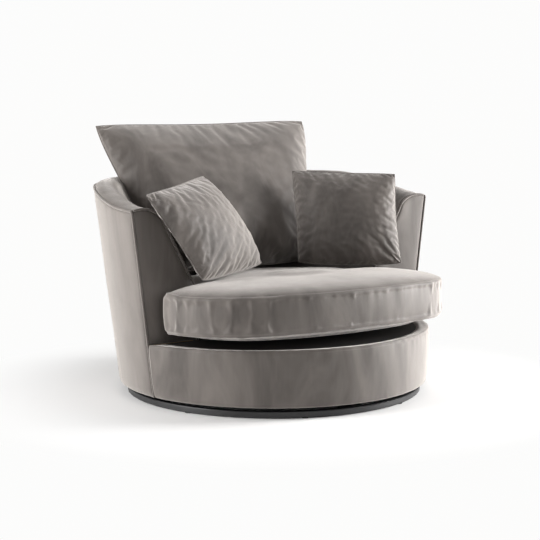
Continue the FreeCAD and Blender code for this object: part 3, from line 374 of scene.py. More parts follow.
def metal(name, colour, rough, metallic, spread=0.15):
    """Painted, plated or polished metal with faint unevenness."""
    material, nodes, links, shader = new_material(name)
    coords = object_coords(nodes, links)
    fine = noise_node(nodes, links, coords, 240.0, 4.0, 0.6)
    wide = noise_node(nodes, links, coords, 12.0, 3.0, 0.5)
    worn = tuple(min(1.0, c * 1.35 + 0.01) for c in colour)
    links.new(blend_colour(nodes, links, wide, colour, worn), shader.inputs["Base Color"])
    links.new(remap(nodes, links, fine, 0.2, 0.8, rough, rough + spread), shader.inputs["Roughness"])
    shader.inputs["Metallic"].default_value = metallic
    links.new(bump(nodes, links, fine, 0.08, 0.0005), shader.inputs["Normal"])
    return material


def soft_solid(name, colour, other, scale=420.0):
    """Foam, felt, wadding or moulded plastic: a speckled even body."""
    material, nodes, links, shader = new_material(name)
    coords = object_coords(nodes, links)
    cells = noise_node(nodes, links, coords, scale, 5.0, 0.7)
    links.new(blend_colour(nodes, links, cells, colour, other), shader.inputs["Base Color"])
    shader.inputs["Roughness"].default_value = 0.85
    links.new(bump(nodes, links, cells, 0.4, 0.001), shader.inputs["Normal"])
    return material


VELVET_DARK = (0.060, 0.052, 0.047)
VELVET_LIGHT = (0.135, 0.119, 0.108)
# Colour of the painted sheen, painted in at glancing angles
VELVET_SHEEN_PAINT = (0.66, 0.61, 0.57)
VELVET = velvet("velvet_grey", VELVET_DARK, VELVET_LIGHT, VELVET_SHEEN_PAINT, 0.55)

FINISHES = {
    "velvet": VELVET,
    "platform_cloth": woven("platform_weave", (0.010, 0.009, 0.0085), (0.024, 0.022, 0.020)),
    "dust_cloth": woven("dust_weave", (0.010, 0.010, 0.010), (0.026, 0.026, 0.026)),
    "webbing": woven("webbing_weave", (0.05, 0.045, 0.04), (0.12, 0.11, 0.1)),
    "felt": soft_solid("felt_fibres", (0.20, 0.19, 0.18), (0.34, 0.32, 0.30), 260.0),
    "wadding": soft_solid("wadding_fibres", (0.72, 0.71, 0.69), (0.88, 0.87, 0.86), 120.0),
    "foam": soft_solid("foam_cells", (0.66, 0.60, 0.40), (0.80, 0.75, 0.56)),
    "fibre_filling": soft_solid("filling_fibres", (0.75, 0.74, 0.72), (0.9, 0.9, 0.88), 90.0),
    "zip_tape": woven("zip_weave", (0.05, 0.047, 0.044), (0.10, 0.095, 0.09)),
    "plywood": wood("plywood_grain", (0.52, 0.36, 0.20), (0.68, 0.51, 0.32)),
    "softwood": wood("softwood_grain", (0.60, 0.42, 0.23), (0.74, 0.57, 0.36), (20.0, 20.0, 3.0)),
    "hardboard": wood("hardboard_fibres", (0.19, 0.11, 0.06), (0.30, 0.19, 0.11), (40.0, 40.0, 40.0)),
    "black_steel": metal("black_powder_coat", (0.008, 0.008, 0.0085), 0.32, 0.0),
    "zinc_steel": metal("zinc_plate", (0.50, 0.50, 0.48), 0.3, 1.0),
    "bearing_steel": metal("polished_steel", (0.60, 0.60, 0.60), 0.08, 1.0, 0.05),
    "spring_steel": metal("oiled_wire", (0.14, 0.14, 0.14), 0.35, 1.0),
    "bush_brass": metal("plain_brass", (0.52, 0.38, 0.14), 0.3, 1.0),
    "glide_plastic": soft_solid("glide_plastic_grain", (0.010, 0.010, 0.010), (0.020, 0.020, 0.020), 600.0),
    "cage_plastic": soft_solid("cage_plastic_grain", (0.62, 0.60, 0.55), (0.70, 0.68, 0.63), 600.0),
}


def dress(obj, slot):
    obj.data.materials.clear()
    obj.data.materials.append(FINISHES[slot])


def dress_solids():
    """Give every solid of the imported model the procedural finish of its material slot."""
    slots = {part["node"]: part["material_slot"] for part in frame["record"]["subparts"]}
    for node, obj in frame["nodes"].items():
        for k in range(max(1, len(obj.material_slots))):
            if not obj.material_slots:
                obj.data.materials.append(FINISHES[slots[node]])
            else:
                obj.material_slots[k].material = FINISHES[slots[node]]


def place(obj, body, *nodes):
    dress(obj, "velvet")
    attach(obj, body)
    if nodes:
        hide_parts(*nodes)


# Upholstery of the tub


COLUMNS = 280


def round_back(share, radius, y):
    """Angle from the front on a circle, where share 0 and 1 lie in the plane of an arm front."""
    start = math.acos(-y / radius)
    return start + share * (2 * math.pi - 2 * start)


def from_front(share):
    """Distance round the back from the nearer arm front, in metres."""
    return min(share, 1 - share) * 2 * math.pi * 0.77 * RIM_R


def outer_velvet():
    y = FACE_Y + 0.0042
    rows = []
    low = SKIRT_Z
    turn = 0.008
    profile = [(-HEM, 0.0, 0.0), (-turn - 0.010, 0.0, 0.0), (-turn, 0.0, 0.0), (-0.0048, 0.0007, 0.0),
               (-0.0022, 0.0024, 0.0), (-0.0006, 0.0050, 0.0)]
    levels = 64
    for k in range(levels + 1):
        profile.append((0.0, turn, k / levels))
    for inset, lift, share_up in profile:
        row = []
        for i in range(COLUMNS + 1):
            share = i / COLUMNS
            rim_angle = round_back(share, RIM_R, y)
            top = edge_z(-RIM_R * math.cos(rim_angle)) - 0.0042
            z = low + lift + (top - low - turn) * share_up
            radius = cone_r(z) + inset
            angle = round_back(share, radius, y)
            point = at(angle, radius, z)
            if share_up > 0:
                side = from_front(share)
                below = top - z
                fall = math.exp(-below / 0.010) + math.exp(-side / 0.010)
                puff = 0.0016 * (1 - min(1.0, fall))
                pull = 0.0009 * ripple((angle * 30, z * 3, 0), 1.0) * math.exp(-below / 0.045)
                pull += 0.0010 * ripple((side * 4, z * 34, 2.0), 1.0) * math.exp(-side / 0.05)
                pull += 0.0014 * ripple((angle * 1.6, z * 5.0, 7.0), 1.0) * min(1.0, side / 0.05, below / 0.05)
                pull += 0.0008 * ripple((angle * 26, z * 2, 4.0), 1.0) * math.exp(-(z - low) / 0.06)
                point = at(angle, radius + puff - 0.0012 * min(1.0, fall) + pull, z)
            row.append(point)
        rows.append(row)
    obj = sheet_object("outer_velvet", rows)
    place(obj, "tub", "outer_cover")


def inner_velvet():
    y = FACE_Y + 0.0042
    rim_steps = 26
    slope_steps = 30
    foot_steps = 8
    total = rim_steps + slope_steps + foot_steps
    rows = []
    for k in range(total + 1):
        row = []
        for i in range(COLUMNS + 1):
            share = i / COLUMNS
            rim_angle = round_back(share, RIM_R, y)
            edge = edge_z(-RIM_R * math.cos(rim_angle))
            cx, cz, radius, a, c = rim_circle(edge)
            side = from_front(share)
            if k <= rim_steps:
                t = k / rim_steps
                first = math.atan2(a[1] - cz, a[0] - cx)
                last = math.atan2(c[1] - cz, c[0] - cx)
                turn = first + (last - first) * t
                swell = 0.0010 * math.sin(math.pi * t)
                fold = 0.0021 * ripple((side * 26, t * 1.3, 1.0), 1.0) * math.exp(-side / 0.075)
                fold += 0.0011 * ripple((side * 14, t * 2.0, 3.0), 1.0) * math.sin(math.pi * t) ** 0.5
                fold += 0.0007 * ripple((side * 60, t * 0.8, 9.0), 1.0) * math.exp(-t / 0.18)
                dip = -0.0016 * math.exp(-t / 0.03)
                reach = radius + swell + fold * smooth(t / 0.12) + dip
                r = cx + reach * math.cos(turn)
                z = cz + reach * math.sin(turn)
            elif k <= rim_steps + slope_steps:
                t = (k - rim_steps) / slope_steps
                z = c[1] + (INNER_SLOPE_Z - c[1]) * t
                r = inner_r(z) + 0.0016 * ripple((side * 5, z * 7, 5.0), 1.0) * math.sin(math.pi * t)
            else:
                t = (k - rim_steps - slope_steps) / foot_steps
                z = INNER_SLOPE_Z + (deck_height(0.3) + 0.001 - INNER_SLOPE_Z) * t
                r = INNER_R
            row.append(at(round_back(share, r, y), r, z))
        rows.append(row)
    obj = sheet_object("inner_velvet", [list(reversed(row)) for row in rows])
    place(obj, "tub", "inner_cover")


def flat_x(radius):
    return math.sqrt(radius * radius - FACE_Y * FACE_Y)


def arm_edges():
    """The four edges of an arm front on the +X side, each from 0 to 1, as (x, z)."""
    foot = deck_height(FACE_Y) + 0.001
    inset = 0.0046
    cx, cz, radius, a, c = rim_circle(EDGE_FRONT_Z)
    reach = radius - inset
    outer_top_r = cone_r(EDGE_FRONT_Z) - inset
    lean = math.hypot(1.0, INNER_SLOPE)
    first = math.acos((outer_top_r - cx) / reach)
    last = math.atan2(c[1] - cz, c[0] - cx)
    top_end = (cx + reach * math.cos(last), cz + reach * math.sin(last))
    knee = (INNER_R + inset, INNER_SLOPE_Z - 0.25 * inset)
    low = (top_end[1] - knee[1]) + (knee[1] - foot)
    knee_share = (knee[1] - foot) / low

    def top(s):
        turn = last + (first - last) * s
        return flat_x(cx + reach * math.cos(turn)), cz + reach * math.sin(turn)

    def inner(v):
        if v < knee_share:
            z = foot + (knee[1] - foot) * v / knee_share
            return flat_x(knee[0]), z
        t = (v - knee_share) / (1 - knee_share)
        r = knee[0] + (top_end[0] - knee[0]) * t
        return flat_x(r), knee[1] + (top_end[1] - knee[1]) * t

    def outer(v):
        z = foot + (cz + reach * math.sin(first) - foot) * v
        return flat_x(cone_r(z) - inset), z

    def bottom(s):
        return inner(0)[0] + (outer(0)[0] - inner(0)[0]) * s, foot
    return bottom, top, inner, outer


def arm_face(name, side):
    """Padded panel on the front of an arm, full in its middle and drawn in at its seams."""
    bottom, top, inner, outer = arm_edges()
    corner = [bottom(0), bottom(1), top(0), top(1)]
    across = 44
    up = 110
    rows = []
    for j in range(up + 1):
        v = j / up
        row = []
        for i in range(across + 1):
            s = i / across
            point = []
            for axis in (0, 1):
                value = (1 - v) * bottom(s)[axis] + v * top(s)[axis] + (1 - s) * inner(v)[axis]
                value += s * outer(v)[axis]
                value -= (1 - s) * (1 - v) * corner[0][axis] + s * (1 - v) * corner[1][axis]
                value -= (1 - s) * v * corner[2][axis] + s * v * corner[3][axis]
                point.append(value)
            x, z = point
            near = min(s * 0.17, (1 - s) * 0.17, (1 - v) * 0.42, v * 0.42 + 0.004)
            full = 1 - math.exp(-near / 0.012)
            y = FACE_Y + 0.0010 - 0.0052 * full
            y += 0.0016 * ripple((x * 9 * side, z * 5, 1.0), 1.0) * full
            y += 0.0011 * ripple((x * 12 * side, z * 55, 3.0), 1.0) * math.exp(-near / 0.02) * full
            row.append(Vector((side * x, y, z)))
        rows.append(row if side > 0 else list(reversed(row)))
    obj = sheet_object("arm_front_velvet_" + name, rows)
    place(obj, "tub", "arm_front_cover_" + name)


def drum_velvet():
    """Velvet of the drum front, rolled over its soft top edge onto the platform."""
    low = SKIRT_Z
    turn = 0.008
    y_end = FACE_Y - 0.004
    columns = 200
    profile = [("bottom", -HEM, 0.0), ("bottom", -turn - 0.008, 0.0), ("bottom", -turn, 0.0),
               ("bottom", -0.0048, 0.0007), ("bottom", -0.0022, 0.0024), ("bottom", -0.0006, 0.0050)]
    levels = 34
    for k in range(levels + 1):
        profile.append(("face", 0.0, k / levels))
    profile += [("top", -0.0006, -0.0080), ("top", -0.0022, -0.0062), ("top", -0.0026, -0.0048),
                ("top", -0.0018, -0.0030), ("top", -0.0030, -0.0002), ("top", -0.0065, 0.0016),
                ("top", -0.0110, 0.0016), ("top", -0.0150, 0.0002), ("top", -0.0200, -0.0012), ("lip", 0.0, 0.0)]
    rows = []
    for kind, a, b in profile:
        row = []
        for i in range(columns + 1):
            share = i / columns
            angle = DRUM_END * (2 * share - 1)
            deck = deck_height(-FRONT_R * math.cos(angle))
            end = min(share, 1 - share) * 2 * DRUM_END * FRONT_R
            if kind == "bottom":
                z = low + b
                r = drum_r(angle, low) + a
            elif kind == "face":
                z = low + turn + (deck - 0.010 - low - turn) * b
                r = drum_r(angle, z)
                full = math.sin(math.pi * min(1.0, max(0.0, b))) ** 0.5
                r += 0.0030 * full
                r += 0.0016 * ripple((angle * 3.2, z * 9, 2.0), 1.0) * full
                r += 0.0012 * ripple((angle * 34, z * 6, 6.0), 1.0) * math.exp(-(1 - b) / 0.14)
                r += 0.0008 * ripple((angle * 30, z * 6, 8.0), 1.0) * math.exp(-b / 0.2)
            elif kind == "top":
                wave = ripple((angle * 24, 0.0, 6.0), 1.0)
                z = deck + b + 0.0009 * wave
                r = drum_r(angle, deck) + a + 0.0010 * ripple((angle * 40, 1.0, 2.0), 1.0)
            else:
                z = deck - 0.0015
                r = LIP_R
            side = 1 if angle > 0 else -1
            point = at(angle, r, z)
            limit = y_end
            if point.y > limit:
                point = Vector((side * math.sqrt(max(0.0, r * r - limit * limit)), limit, z))
            row.append(point)
        rows.append(row)
    obj = sheet_object("drum_front_velvet", rows)
    place(obj, "tub", "drum_front_cover")


def pipings():
    y = FACE_Y + 0.0005
    bend = 0.007
    corner_z = EDGE_FRONT_Z - 0.0005 - bend
    right = []
    for z in (SKIRT_Z + 0.002, 0.10, 0.20, 0.30, 0.40, 0.50, 0.58, 0.615, corner_z):
        right.append(Vector((flat_x(cone_r(z) - 0.0005), y, z)))
    for degrees in (25.0, 50.0, 75.0):
        a = math.radians(degrees)
        z = corner_z + bend * math.sin(a)
        back = y + bend * (1 - math.cos(a))
        r = cone_r(z) - 0.0005
        right.append(Vector((math.sqrt(r * r - back * back), back, z)))
    rim = []
    for index in range(41):
        angle = math.radians(84.0 + 192.0 * index / 40)
        z = edge_z(-RIM_R * math.cos(angle)) - 0.0005
        rim.append(at(angle, cone_r(z) - 0.0005, z))
    left = [Vector((-p.x, p.y, p.z)) for p in reversed(right)]
    obj = welt("outer_welt", spline_points(right + rim + left, 0.004), PIPING_R)
    place(obj, "tub", "outer_piping")

    edge = EDGE_FRONT_Z
    shoulder = edge - SHOULDER
    cx, cz, radius, a, c = rim_circle(edge)
    pairs = [(inner_r(z) + 0.0005, z) for z in (deck_height(FACE_Y) + 0.002, 0.28, 0.34, 0.395, 0.45, 0.53, 0.59)]
    pairs.append((inner_r(shoulder) + 0.0005, shoulder - 0.002))
    first = inner_r(shoulder) + 0.014
    last = cone_r(edge) - 2 * PIPING_R - 0.0003
    for share in (0.0, 0.25, 0.5, 0.75, 1.0):
        r = first + (last - first) * share
        pairs.append((r, cz + math.sqrt((radius - 0.0005) ** 2 - (r - cx) ** 2)))
    for name, side in (("right", 1), ("left", -1)):
        points = [Vector((side * flat_x(r), y, z)) for r, z in pairs]
        obj = welt("arm_welt_" + name, spline_points(points, 0.004), PIPING_R)
        place(obj, "tub", "arm_piping_" + name)


# Loose cushions


def arc_points(a, b, c, count):
    """Points on the circle through three points in a plane, from a over b to c."""
    d = 2 * (a[0] * (b[1] - c[1]) + b[0] * (c[1] - a[1]) + c[0] * (a[1] - b[1]))
    sq = [p[0] ** 2 + p[1] ** 2 for p in (a, b, c)]
    x = (sq[0] * (b[1] - c[1]) + sq[1] * (c[1] - a[1]) + sq[2] * (a[1] - b[1])) / d
    y = (sq[0] * (c[0] - b[0]) + sq[1] * (a[0] - c[0]) + sq[2] * (b[0] - a[0])) / d
    radius = math.hypot(a[0] - x, a[1] - y)
    angles = [math.atan2(p[1] - y, p[0] - x) for p in (a, b, c)]
    turn = (angles[2] - angles[0]) % (2 * math.pi)
    if (angles[1] - angles[0]) % (2 * math.pi) > turn:
        turn -= 2 * math.pi
    return [(x + radius * math.cos(angles[0] + turn * k / count),
             y + radius * math.sin(angles[0] + turn * k / count)) for k in range(count)]


def seat_outline(count):
    """Even points round the T-shaped plan of the seat cushion, from its rear middle by the +X side."""
    half = 0.508
    neck = 0.355
    ear = -0.118
    ear_round = 0.030
    bevel = ear_round * (1 - math.sqrt(0.5))
    neck_x = math.sqrt(neck ** 2 - ear ** 2)
    p = [(0.318, -0.446), (0.458, -0.335), (half, -0.205), (half, ear - ear_round),
         (half - bevel, ear - bevel), (half - ear_round, ear), (neck_x, ear), (neck * 0.9397, neck * 0.3420)]
    m = [(-x, y) for x, y in p]
    line = []
    line += arc_points((0.0, neck), p[7], p[6], 60)
    line += [(p[6][0] + (p[5][0] - p[6][0]) * k / 20, ear) for k in range(20)]
    line += arc_points(p[5], p[4], p[3], 12)
    line += [(half, p[3][1] + (p[2][1] - p[3][1]) * k / 10) for k in range(10)]
    line += arc_points(p[2], p[1], p[0], 60)
    line += arc_points(p[0], (0.0, -0.492), m[0], 120)
    line += arc_points(m[0], m[1], m[2], 60)
    line += [(-half, m[2][1] + (m[3][1] - m[2][1]) * k / 10) for k in range(10)]
    line += arc_points(m[3], m[4], m[5], 12)
    line += [(m[5][0] + (m[6][0] - m[5][0]) * k / 20, ear) for k in range(20)]
    line += arc_points(m[6], m[7], (0.0, neck), 60)
    total = [0.0]
    for k in range(len(line)):
        q = line[(k + 1) % len(line)]
        total.append(total[-1] + math.hypot(q[0] - line[k][0], q[1] - line[k][1]))
    out = []
    k = 0
    for i in range(count):
        want = total[-1] * i / count
        while total[k + 1] < want:
            k += 1
        t = (want - total[k]) / max(1e-9, total[k + 1] - total[k])
        q = line[(k + 1) % len(line)]
        out.append((line[k][0] + (q[0] - line[k][0]) * t, line[k][1] + (q[1] - line[k][1]) * t))
    return out


def seat_tilted(x, y, z):
    up = z - SEAT_SEAM_Z
    return Vector((x, y * math.cos(SEAT_TILT) + up * math.sin(SEAT_TILT),
                   SEAT_SEAM_Z - y * math.sin(SEAT_TILT) + up * math.cos(SEAT_TILT)))


def seat_cushion():
    """Boxed cushion: crowned panels above and below, sewn to a border that gathers at its seams."""
    count = 480
    outline = seat_outline(count)
    normals = []
    for i in range(count):
        a = outline[i - 1]
        b = outline[(i + 1) % count]
        length = math.hypot(b[0] - a[0], b[1] - a[1])
        normals.append(((b[1] - a[1]) / length * 1.0, -(b[0] - a[0]) / length))
    sign = 1.0 if normals[0][1] > 0 else -1.0
    normals = [(sign * x, sign * y) for x, y in normals]
    panel = [0.08, 0.16, 0.25, 0.34, 0.42, 0.50, 0.57, 0.63, 0.69, 0.74, 0.79, 0.83, 0.865, 0.895, 0.92, 0.942,
             0.96, 0.974, 0.985, 0.993]
    rings = []
    pins = []
    cx, cy = SEAT_CENTRE

    def panel_ring(s, sense, height, z0):
        ring = []
        for i, (x, y) in enumerate(outline):
            px = cx + (x - cx) * s
            py = cy + (y - cy) * s
            crown = height * (1 - s ** 3) ** 0.5
            crown += 0.0025 * ripple((px * 6, py * 6, sense), 1.0) * (1 - s ** 6)
            crown += 0.0016 * ripple((i * 60.0 / count, 0, sense * 3), 1.0) * math.exp(-(1 - s) / 0.05)
            ring.append(seat_tilted(px, py, z0 + sense * crown))
        return ring
    top = SEAT_SEAM_Z
    low = SEAT_SEAM_Z - SEAT_BORDER
    for s in panel:
        rings.append(panel_ring(s, 1, SEAT_CROWN, top))
        pins.append(1.0 if s < 0.2 else 0.0)
    rings.append([seat_tilted(x - nx * 0.0035, y - ny * 0.0035, top) for (x, y), (nx, ny) in zip(outline, normals)])
    pins.append(1.0)
    border = 22
    for k in range(1, border):
        t = k / border
        ring = []
        for i, ((x, y), (nx, ny)) in enumerate(zip(outline, normals)):
            held = 0.3 if y > -0.125 else 1.0
            out = SEAT_BULGE * held * (4 * t * (1 - t)) ** 0.6
            spot = i * 3.2 / count
            out += held * 0.0030 * ripple((spot * 42, t * 1.4, 2.0), 1.0) * math.exp(-t / 0.22) * smooth(t / 0.06)
            out += held * 0.0016 * ripple((spot * 36, t * 1.2, 9.0), 1.0) * math.exp(-(1 - t) / 0.2)
            ring.append(seat_tilted(x + nx * out, y + ny * out, top - SEAT_BORDER * t))
        rings.append(ring)
        pins.append(0.0)
    rings.append([seat_tilted(x - nx * 0.0035, y - ny * 0.0035, low) for (x, y), (nx, ny) in zip(outline, normals)])
    pins.append(1.0)
    for s in reversed(panel):
        rings.append(panel_ring(s, -1, SEAT_UNDER, low))
        pins.append(1.0 if s < 0.8 else 0.0)
    first = seat_tilted(cx, cy, top + SEAT_CROWN)
    last = seat_tilted(cx, cy, low - SEAT_UNDER)
    obj = closed_rings("seat_cushion", rings, first, last)
    weights = [1.0] + [w for w in pins for _ in range(count)] + [1.0]
    return obj, weights


def through(net, u, v):
    """Point of the curved seam surface through a net of 3 by 3 points; u and v run from -1 to 1."""
    def three(t):
        return t * (t - 1) / 2, 1 - t * t, t * (t + 1) / 2
    a = three(u)
    b = three(v)
    point = Vector((0.0, 0.0, 0.0))
    for j in range(3):
        for i in range(3):
            point += Vector(net[j][i]) * (a[i] * b[j])
    return point


def pillow(name, net, facing, front, back, pull, count, belly=0.0, power=0.5, corner=0.10):
    """Knife-edged cushion between two panels that share a seam.

    net is the seam surface, front and back say how far the panels stand off it, pull is
    how far the left, lower, right and upper sides are drawn in between the corners.
    """
    left, lower, right, upper = pull

    def outline(u, v):
        """Draw the sides in and round the corners a little."""
        side_u = right if u > 0 else left
        side_v = upper if v > 0 else lower
        du = side_u * (1 - v * v) ** 0.8 * abs(u) ** 3
        dv = side_v * (1 - u * u) ** 0.8 * abs(v) ** 3
        blunt = corner * (u * u * v * v) ** 2 * 0.5
        return u * (1 - du - blunt), v * (1 - dv - blunt)
    direction = Vector(facing).normalized()
    verts = []
    weights = []
    index = {}
    for sense, depth in ((1, front), (-1, back)):
        for j in range(count + 1):
            for i in range(count + 1):
                edge = i in (0, count) or j in (0, count)
                key = (0 if edge else sense, i, j)
                if key in index:
                    continue
                u = math.sin(math.pi / 2 * (2 * i / count - 1) * 0.92) / math.sin(math.pi / 2 * 0.92)
                v = math.sin(math.pi / 2 * (2 * j / count - 1) * 0.92) / math.sin(math.pi / 2 * 0.92)
                uu, vv = outline(u, v)
                point = through(net, uu, vv)
                if not edge:
                    full = ((1 - u * u) * (1 - (v * v))) ** power
                    full *= 1 + belly * v
                    puff = depth * full
                    rim = min(1 - abs(u), 1 - abs(v))
                    puff += 0.0035 * ripple((u * 9, v * 9, sense * 4 + len(name)), 1.0) * smooth(rim / 0.1)
                    point += direction * (sense * puff)
                index[key] = len(verts)
                verts.append(point)
                weights.append(1.0 if edge else 0.0)
    faces = []
    for sense in (1, -1):
        for j in range(count):
            for i in range(count):
                corner_keys = [(i, j), (i + 1, j), (i + 1, j + 1), (i, j + 1)]
                ids = []
                for a, b in corner_keys:
                    edge = a in (0, count) or b in (0, count)
                    ids.append(index[(0 if edge else sense, a, b)])
                faces.append(tuple(ids) if sense > 0 else tuple(reversed(ids)))
    obj = mesh_object(name, verts, faces)
    seam = [(i, 0) for i in range(count)] + [(count, j) for j in range(count)]
    seam += [(i, count) for i in range(count, 0, -1)] + [(0, j) for j in range(count, 0, -1)]
    ring = [index[(0, i, j)] for i, j in seam]
    return obj, weights, ring


def simulate(jobs):
    """Blow all cushions up together, with their seams held, and keep each point within its cap."""
    scene = bpy.context.scene
    scene.frame_start = 1
    scene.frame_end = FRAMES
    for obj, weights, pressure, spare, bend, cap in jobs:
        group = obj.vertex_groups.new(name="seams")
        for k, weight in enumerate(weights):
            if weight > 0:
                group.add([k], weight, "REPLACE")
        cloth = obj.modifiers.new("cloth", "CLOTH")
        settings = cloth.settings
        settings.quality = 6
        settings.mass = 0.25
        settings.air_damping = 3.0
        settings.tension_stiffness = 18.0
        settings.compression_stiffness = 18.0
        settings.shear_stiffness = 6.0
        settings.bending_stiffness = bend
        settings.tension_damping = 8.0
        settings.compression_damping = 8.0
        settings.shear_damping = 8.0
        settings.use_pressure = True
        settings.uniform_pressure_force = pressure
        settings.shrink_min = -spare
        settings.vertex_group_mass = "seams"
        settings.pin_stiffness = 1.0
        settings.effector_weights.gravity = 0.0
        cloth.collision_settings.use_collision = False
        cloth.collision_settings.use_self_collision = False
    for number in range(1, FRAMES + 1):
        scene.frame_set(number)
    graph = bpy.context.evaluated_depsgraph_get()
    results = []
    for job in jobs:
        mesh = job[0].evaluated_get(graph).data
        results.append([v.co.copy() for v in mesh.vertices])
    for (obj, weights, pressure, spare, bend, cap), moved in zip(jobs, results):
        obj.modifiers.remove(obj.modifiers["cloth"])
        obj.vertex_groups.clear()
        for vertex, point in zip(obj.data.vertices, moved):
            shift = point - vertex.co
            if shift.length > cap:
                shift *= cap / shift.length
            vertex.co += shift
        obj.data.update()
    scene.frame_set(1)


def finish_cushion(obj, body, fill, *nodes):
    subdivision = obj.modifiers.new("subdivision", "SUBSURF")
    subdivision.levels = 1
    subdivision.render_levels = 1
    place(obj, body, *nodes)


BACK_NET = [
    [(-0.285, 0.222, 0.384), (0.0, 0.245, 0.384), (0.285, 0.222, 0.384)],
    [(-0.376, 0.345, 0.640), (0.0, 0.372, 0.640), (0.384, 0.345, 0.640)],
    [(-0.462, 0.466, 0.905), (0.0, 0.474, 0.893), (0.462, 0.466, 0.908)],
]
RIGHT_NET = [
    [(0.117, 0.036, 0.414), (0.271, -0.070, 0.412), (0.428, -0.176, 0.412)],
    [(0.155, 0.112, 0.575), (0.300, 0.010, 0.575), (0.440, -0.140, 0.572)],
    [(0.193, 0.186, 0.736), (0.322, 0.050, 0.733), (0.450, -0.105, 0.730)],
]
LEFT_NET = [
    [(-0.399, -0.187, 0.414), (-0.215, -0.072, 0.416), (-0.012, 0.038, 0.422)],
    [(-0.490, -0.162, 0.557), (-0.290, -0.040, 0.572), (-0.104, 0.090, 0.578)],
    [(-0.581, -0.137, 0.700), (-0.388, 0.005, 0.716), (-0.196, 0.140, 0.735)],
]


def cushions():
    seat, seat_pins = seat_cushion()
    size = 96
    back, back_pins, back_seam = pillow("back_cushion", BACK_NET, (0.0, -1.0, 0.12), 0.150, 0.100,
                                        (0.03, 0.02, 0.03, 0.012), size + 20, -0.45, 0.42)
    right, right_pins, right_seam = pillow("scatter_right", RIGHT_NET, (-0.52, -0.83, 0.15), 0.066, 0.030,
                                           (0.075, 0.0, 0.075, 0.06), size)
    left, left_pins, left_seam = pillow("scatter_left", LEFT_NET, (0.50, -0.82, 0.22), 0.066, 0.030,
                                        (0.06, 0.0, 0.06, 0.06), size)
    simulate([
        (seat, seat_pins, 3.0, 0.006, 1.5, 0.008),
        (back, back_pins, 4.0, 0.010, 2.0, 0.020),
        (right, right_pins, 4.0, 0.020, 0.8, 0.014),
        (left, left_pins, 4.0, 0.020, 0.8, 0.014),
    ])
    finish_cushion(seat, "seat_cushion", 0.85, "seat_cushion_cover", "seat_cushion_foam")
    finish_cushion(back, "back_cushion", 0.75, "back_cushion_cover", "back_cushion_filling")
    finish_cushion(right, "scatter_right", 0.7, "scatter_right_cover", "scatter_right_filling")
    finish_cushion(left, "scatter_left", 0.7, "scatter_left_cover", "scatter_left_filling")
    for obj, ring, body, radius in ((back, back_seam, "back_cushion", 0.0016),
                                    (right, right_seam, "scatter_right", 0.0014),
                                    (left, left_seam, "scatter_left", 0.0014)):
        points = [obj.data.vertices[k].co.copy() for k in ring]
        seam = welt(obj.name + "_seam", points, radius, True, 6)
        place(seam, body)


def camera():
    data = bpy.data.cameras.new("camera")
    data.lens = 99.52
    data.sensor_width = 36.0
    data.clip_end = 50.0
    obj = bpy.data.objects.new("camera", data)
    bpy.context.scene.collection.objects.link(obj)
    eye = Vector((-2.8249, -4.2052, 1.0506))
    target = Vector((-0.0110, 0.0073, 0.4055))
    obj.location = eye
    obj.rotation_euler = (target - eye).to_track_quat("-Z", "Y").to_euler()
    bpy.context.scene.camera = obj


def lamp(name, location, target, size, power, colour=(1.0, 1.0, 1.0)):
    data = bpy.data.lights.new(name, "AREA")
    data.shape = "RECTANGLE"
    data.size, data.size_y = size
    data.energy = power
    data.color = colour
    obj = bpy.data.objects.new(name, data)
    bpy.context.scene.collection.objects.link(obj)
    obj.location = location
    obj.rotation_euler = (Vector(target) - Vector(location)).to_track_quat("-Z", "Y").to_euler()


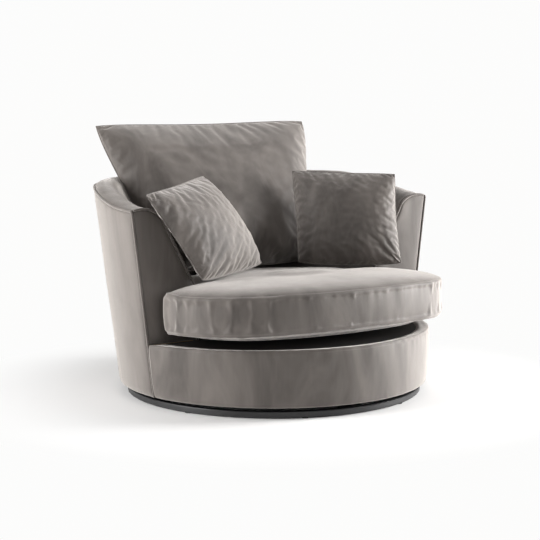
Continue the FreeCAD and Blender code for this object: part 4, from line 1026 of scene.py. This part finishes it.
def studio():
    """Pale floor, soft lamps at both sides and a light world."""
    world = bpy.data.worlds.new("studio")
    bpy.context.scene.world = world
    world.use_nodes = True
    nodes = world.node_tree.nodes
    links = world.node_tree.links
    background = nodes["Background"]
    background.inputs["Color"].default_value = (1.0, 0.99, 0.98, 1.0)
    background.inputs["Strength"].default_value = 0.22
    seen = nodes.new("ShaderNodeBackground")
    seen.inputs["Color"].default_value = (0.975, 0.975, 0.97, 1.0)
    seen.inputs["Strength"].default_value = 1.0
    path = nodes.new("ShaderNodeLightPath")
    mix = nodes.new("ShaderNodeMixShader")
    links.new(path.outputs["Is Camera Ray"], mix.inputs[0])
    links.new(background.outputs[0], mix.inputs[1])
    links.new(seen.outputs[0], mix.inputs[2])
    links.new(mix.outputs[0], nodes["World Output"].inputs["Surface"])

    bpy.ops.mesh.primitive_plane_add(size=30.0, location=(0, 0, 0))
    floor = bpy.context.object
    floor.name = "floor"
    material, nodes, links, shader = new_material("pale_floor")
    shader.inputs["Base Color"].default_value = (0.86, 0.855, 0.85, 1.0)
    shader.inputs["Roughness"].default_value = 0.7
    shader.inputs["Specular IOR Level"].default_value = 0.2
    white = nodes.new("ShaderNodeEmission")
    white.inputs["Color"].default_value = (0.975, 0.975, 0.97, 1.0)
    path = nodes.new("ShaderNodeLightPath")
    coords = nodes.new("ShaderNodeTexCoord")
    length = nodes.new("ShaderNodeVectorMath")
    length.operation = "LENGTH"
    links.new(coords.outputs["Object"], length.inputs[0])
    far = remap(nodes, links, length.outputs["Value"], 0.62, 1.15)
    far.node.interpolation_type = "SMOOTHSTEP"
    shown = calculate(nodes, links, "MULTIPLY", path.outputs["Is Camera Ray"], far)
    mix = nodes.new("ShaderNodeMixShader")
    links.new(shown, mix.inputs[0])
    links.new(shader.outputs[0], mix.inputs[1])
    links.new(white.outputs[0], mix.inputs[2])
    links.new(mix.outputs[0], nodes["Material Output"].inputs["Surface"])
    floor.data.materials.append(material)

    lamp("left_lamp", (-3.0, 0.4, 1.2), (0.0, 0.0, 0.4), (1.6, 2.4), 125.0)
    lamp("right_lamp", (2.7, -1.5, 1.1), (0.0, 0.0, 0.4), (1.2, 2.0), 200.0)
    lamp("top_lamp", (0.2, 0.6, 3.2), (0.0, 0.0, 0.5), (2.4, 2.0), 18.0)
    lamp("front_lamp", (-1.6, -4.2, 2.0), (0.0, 0.0, 0.4), (2.4, 2.0), 26.0)
    bpy.context.scene.view_settings.view_transform = "Standard"


dress_solids()
outer_velvet()
inner_velvet()
arm_face("right", 1)
arm_face("left", -1)
drum_velvet()
pipings()
cushions()
camera()
studio()
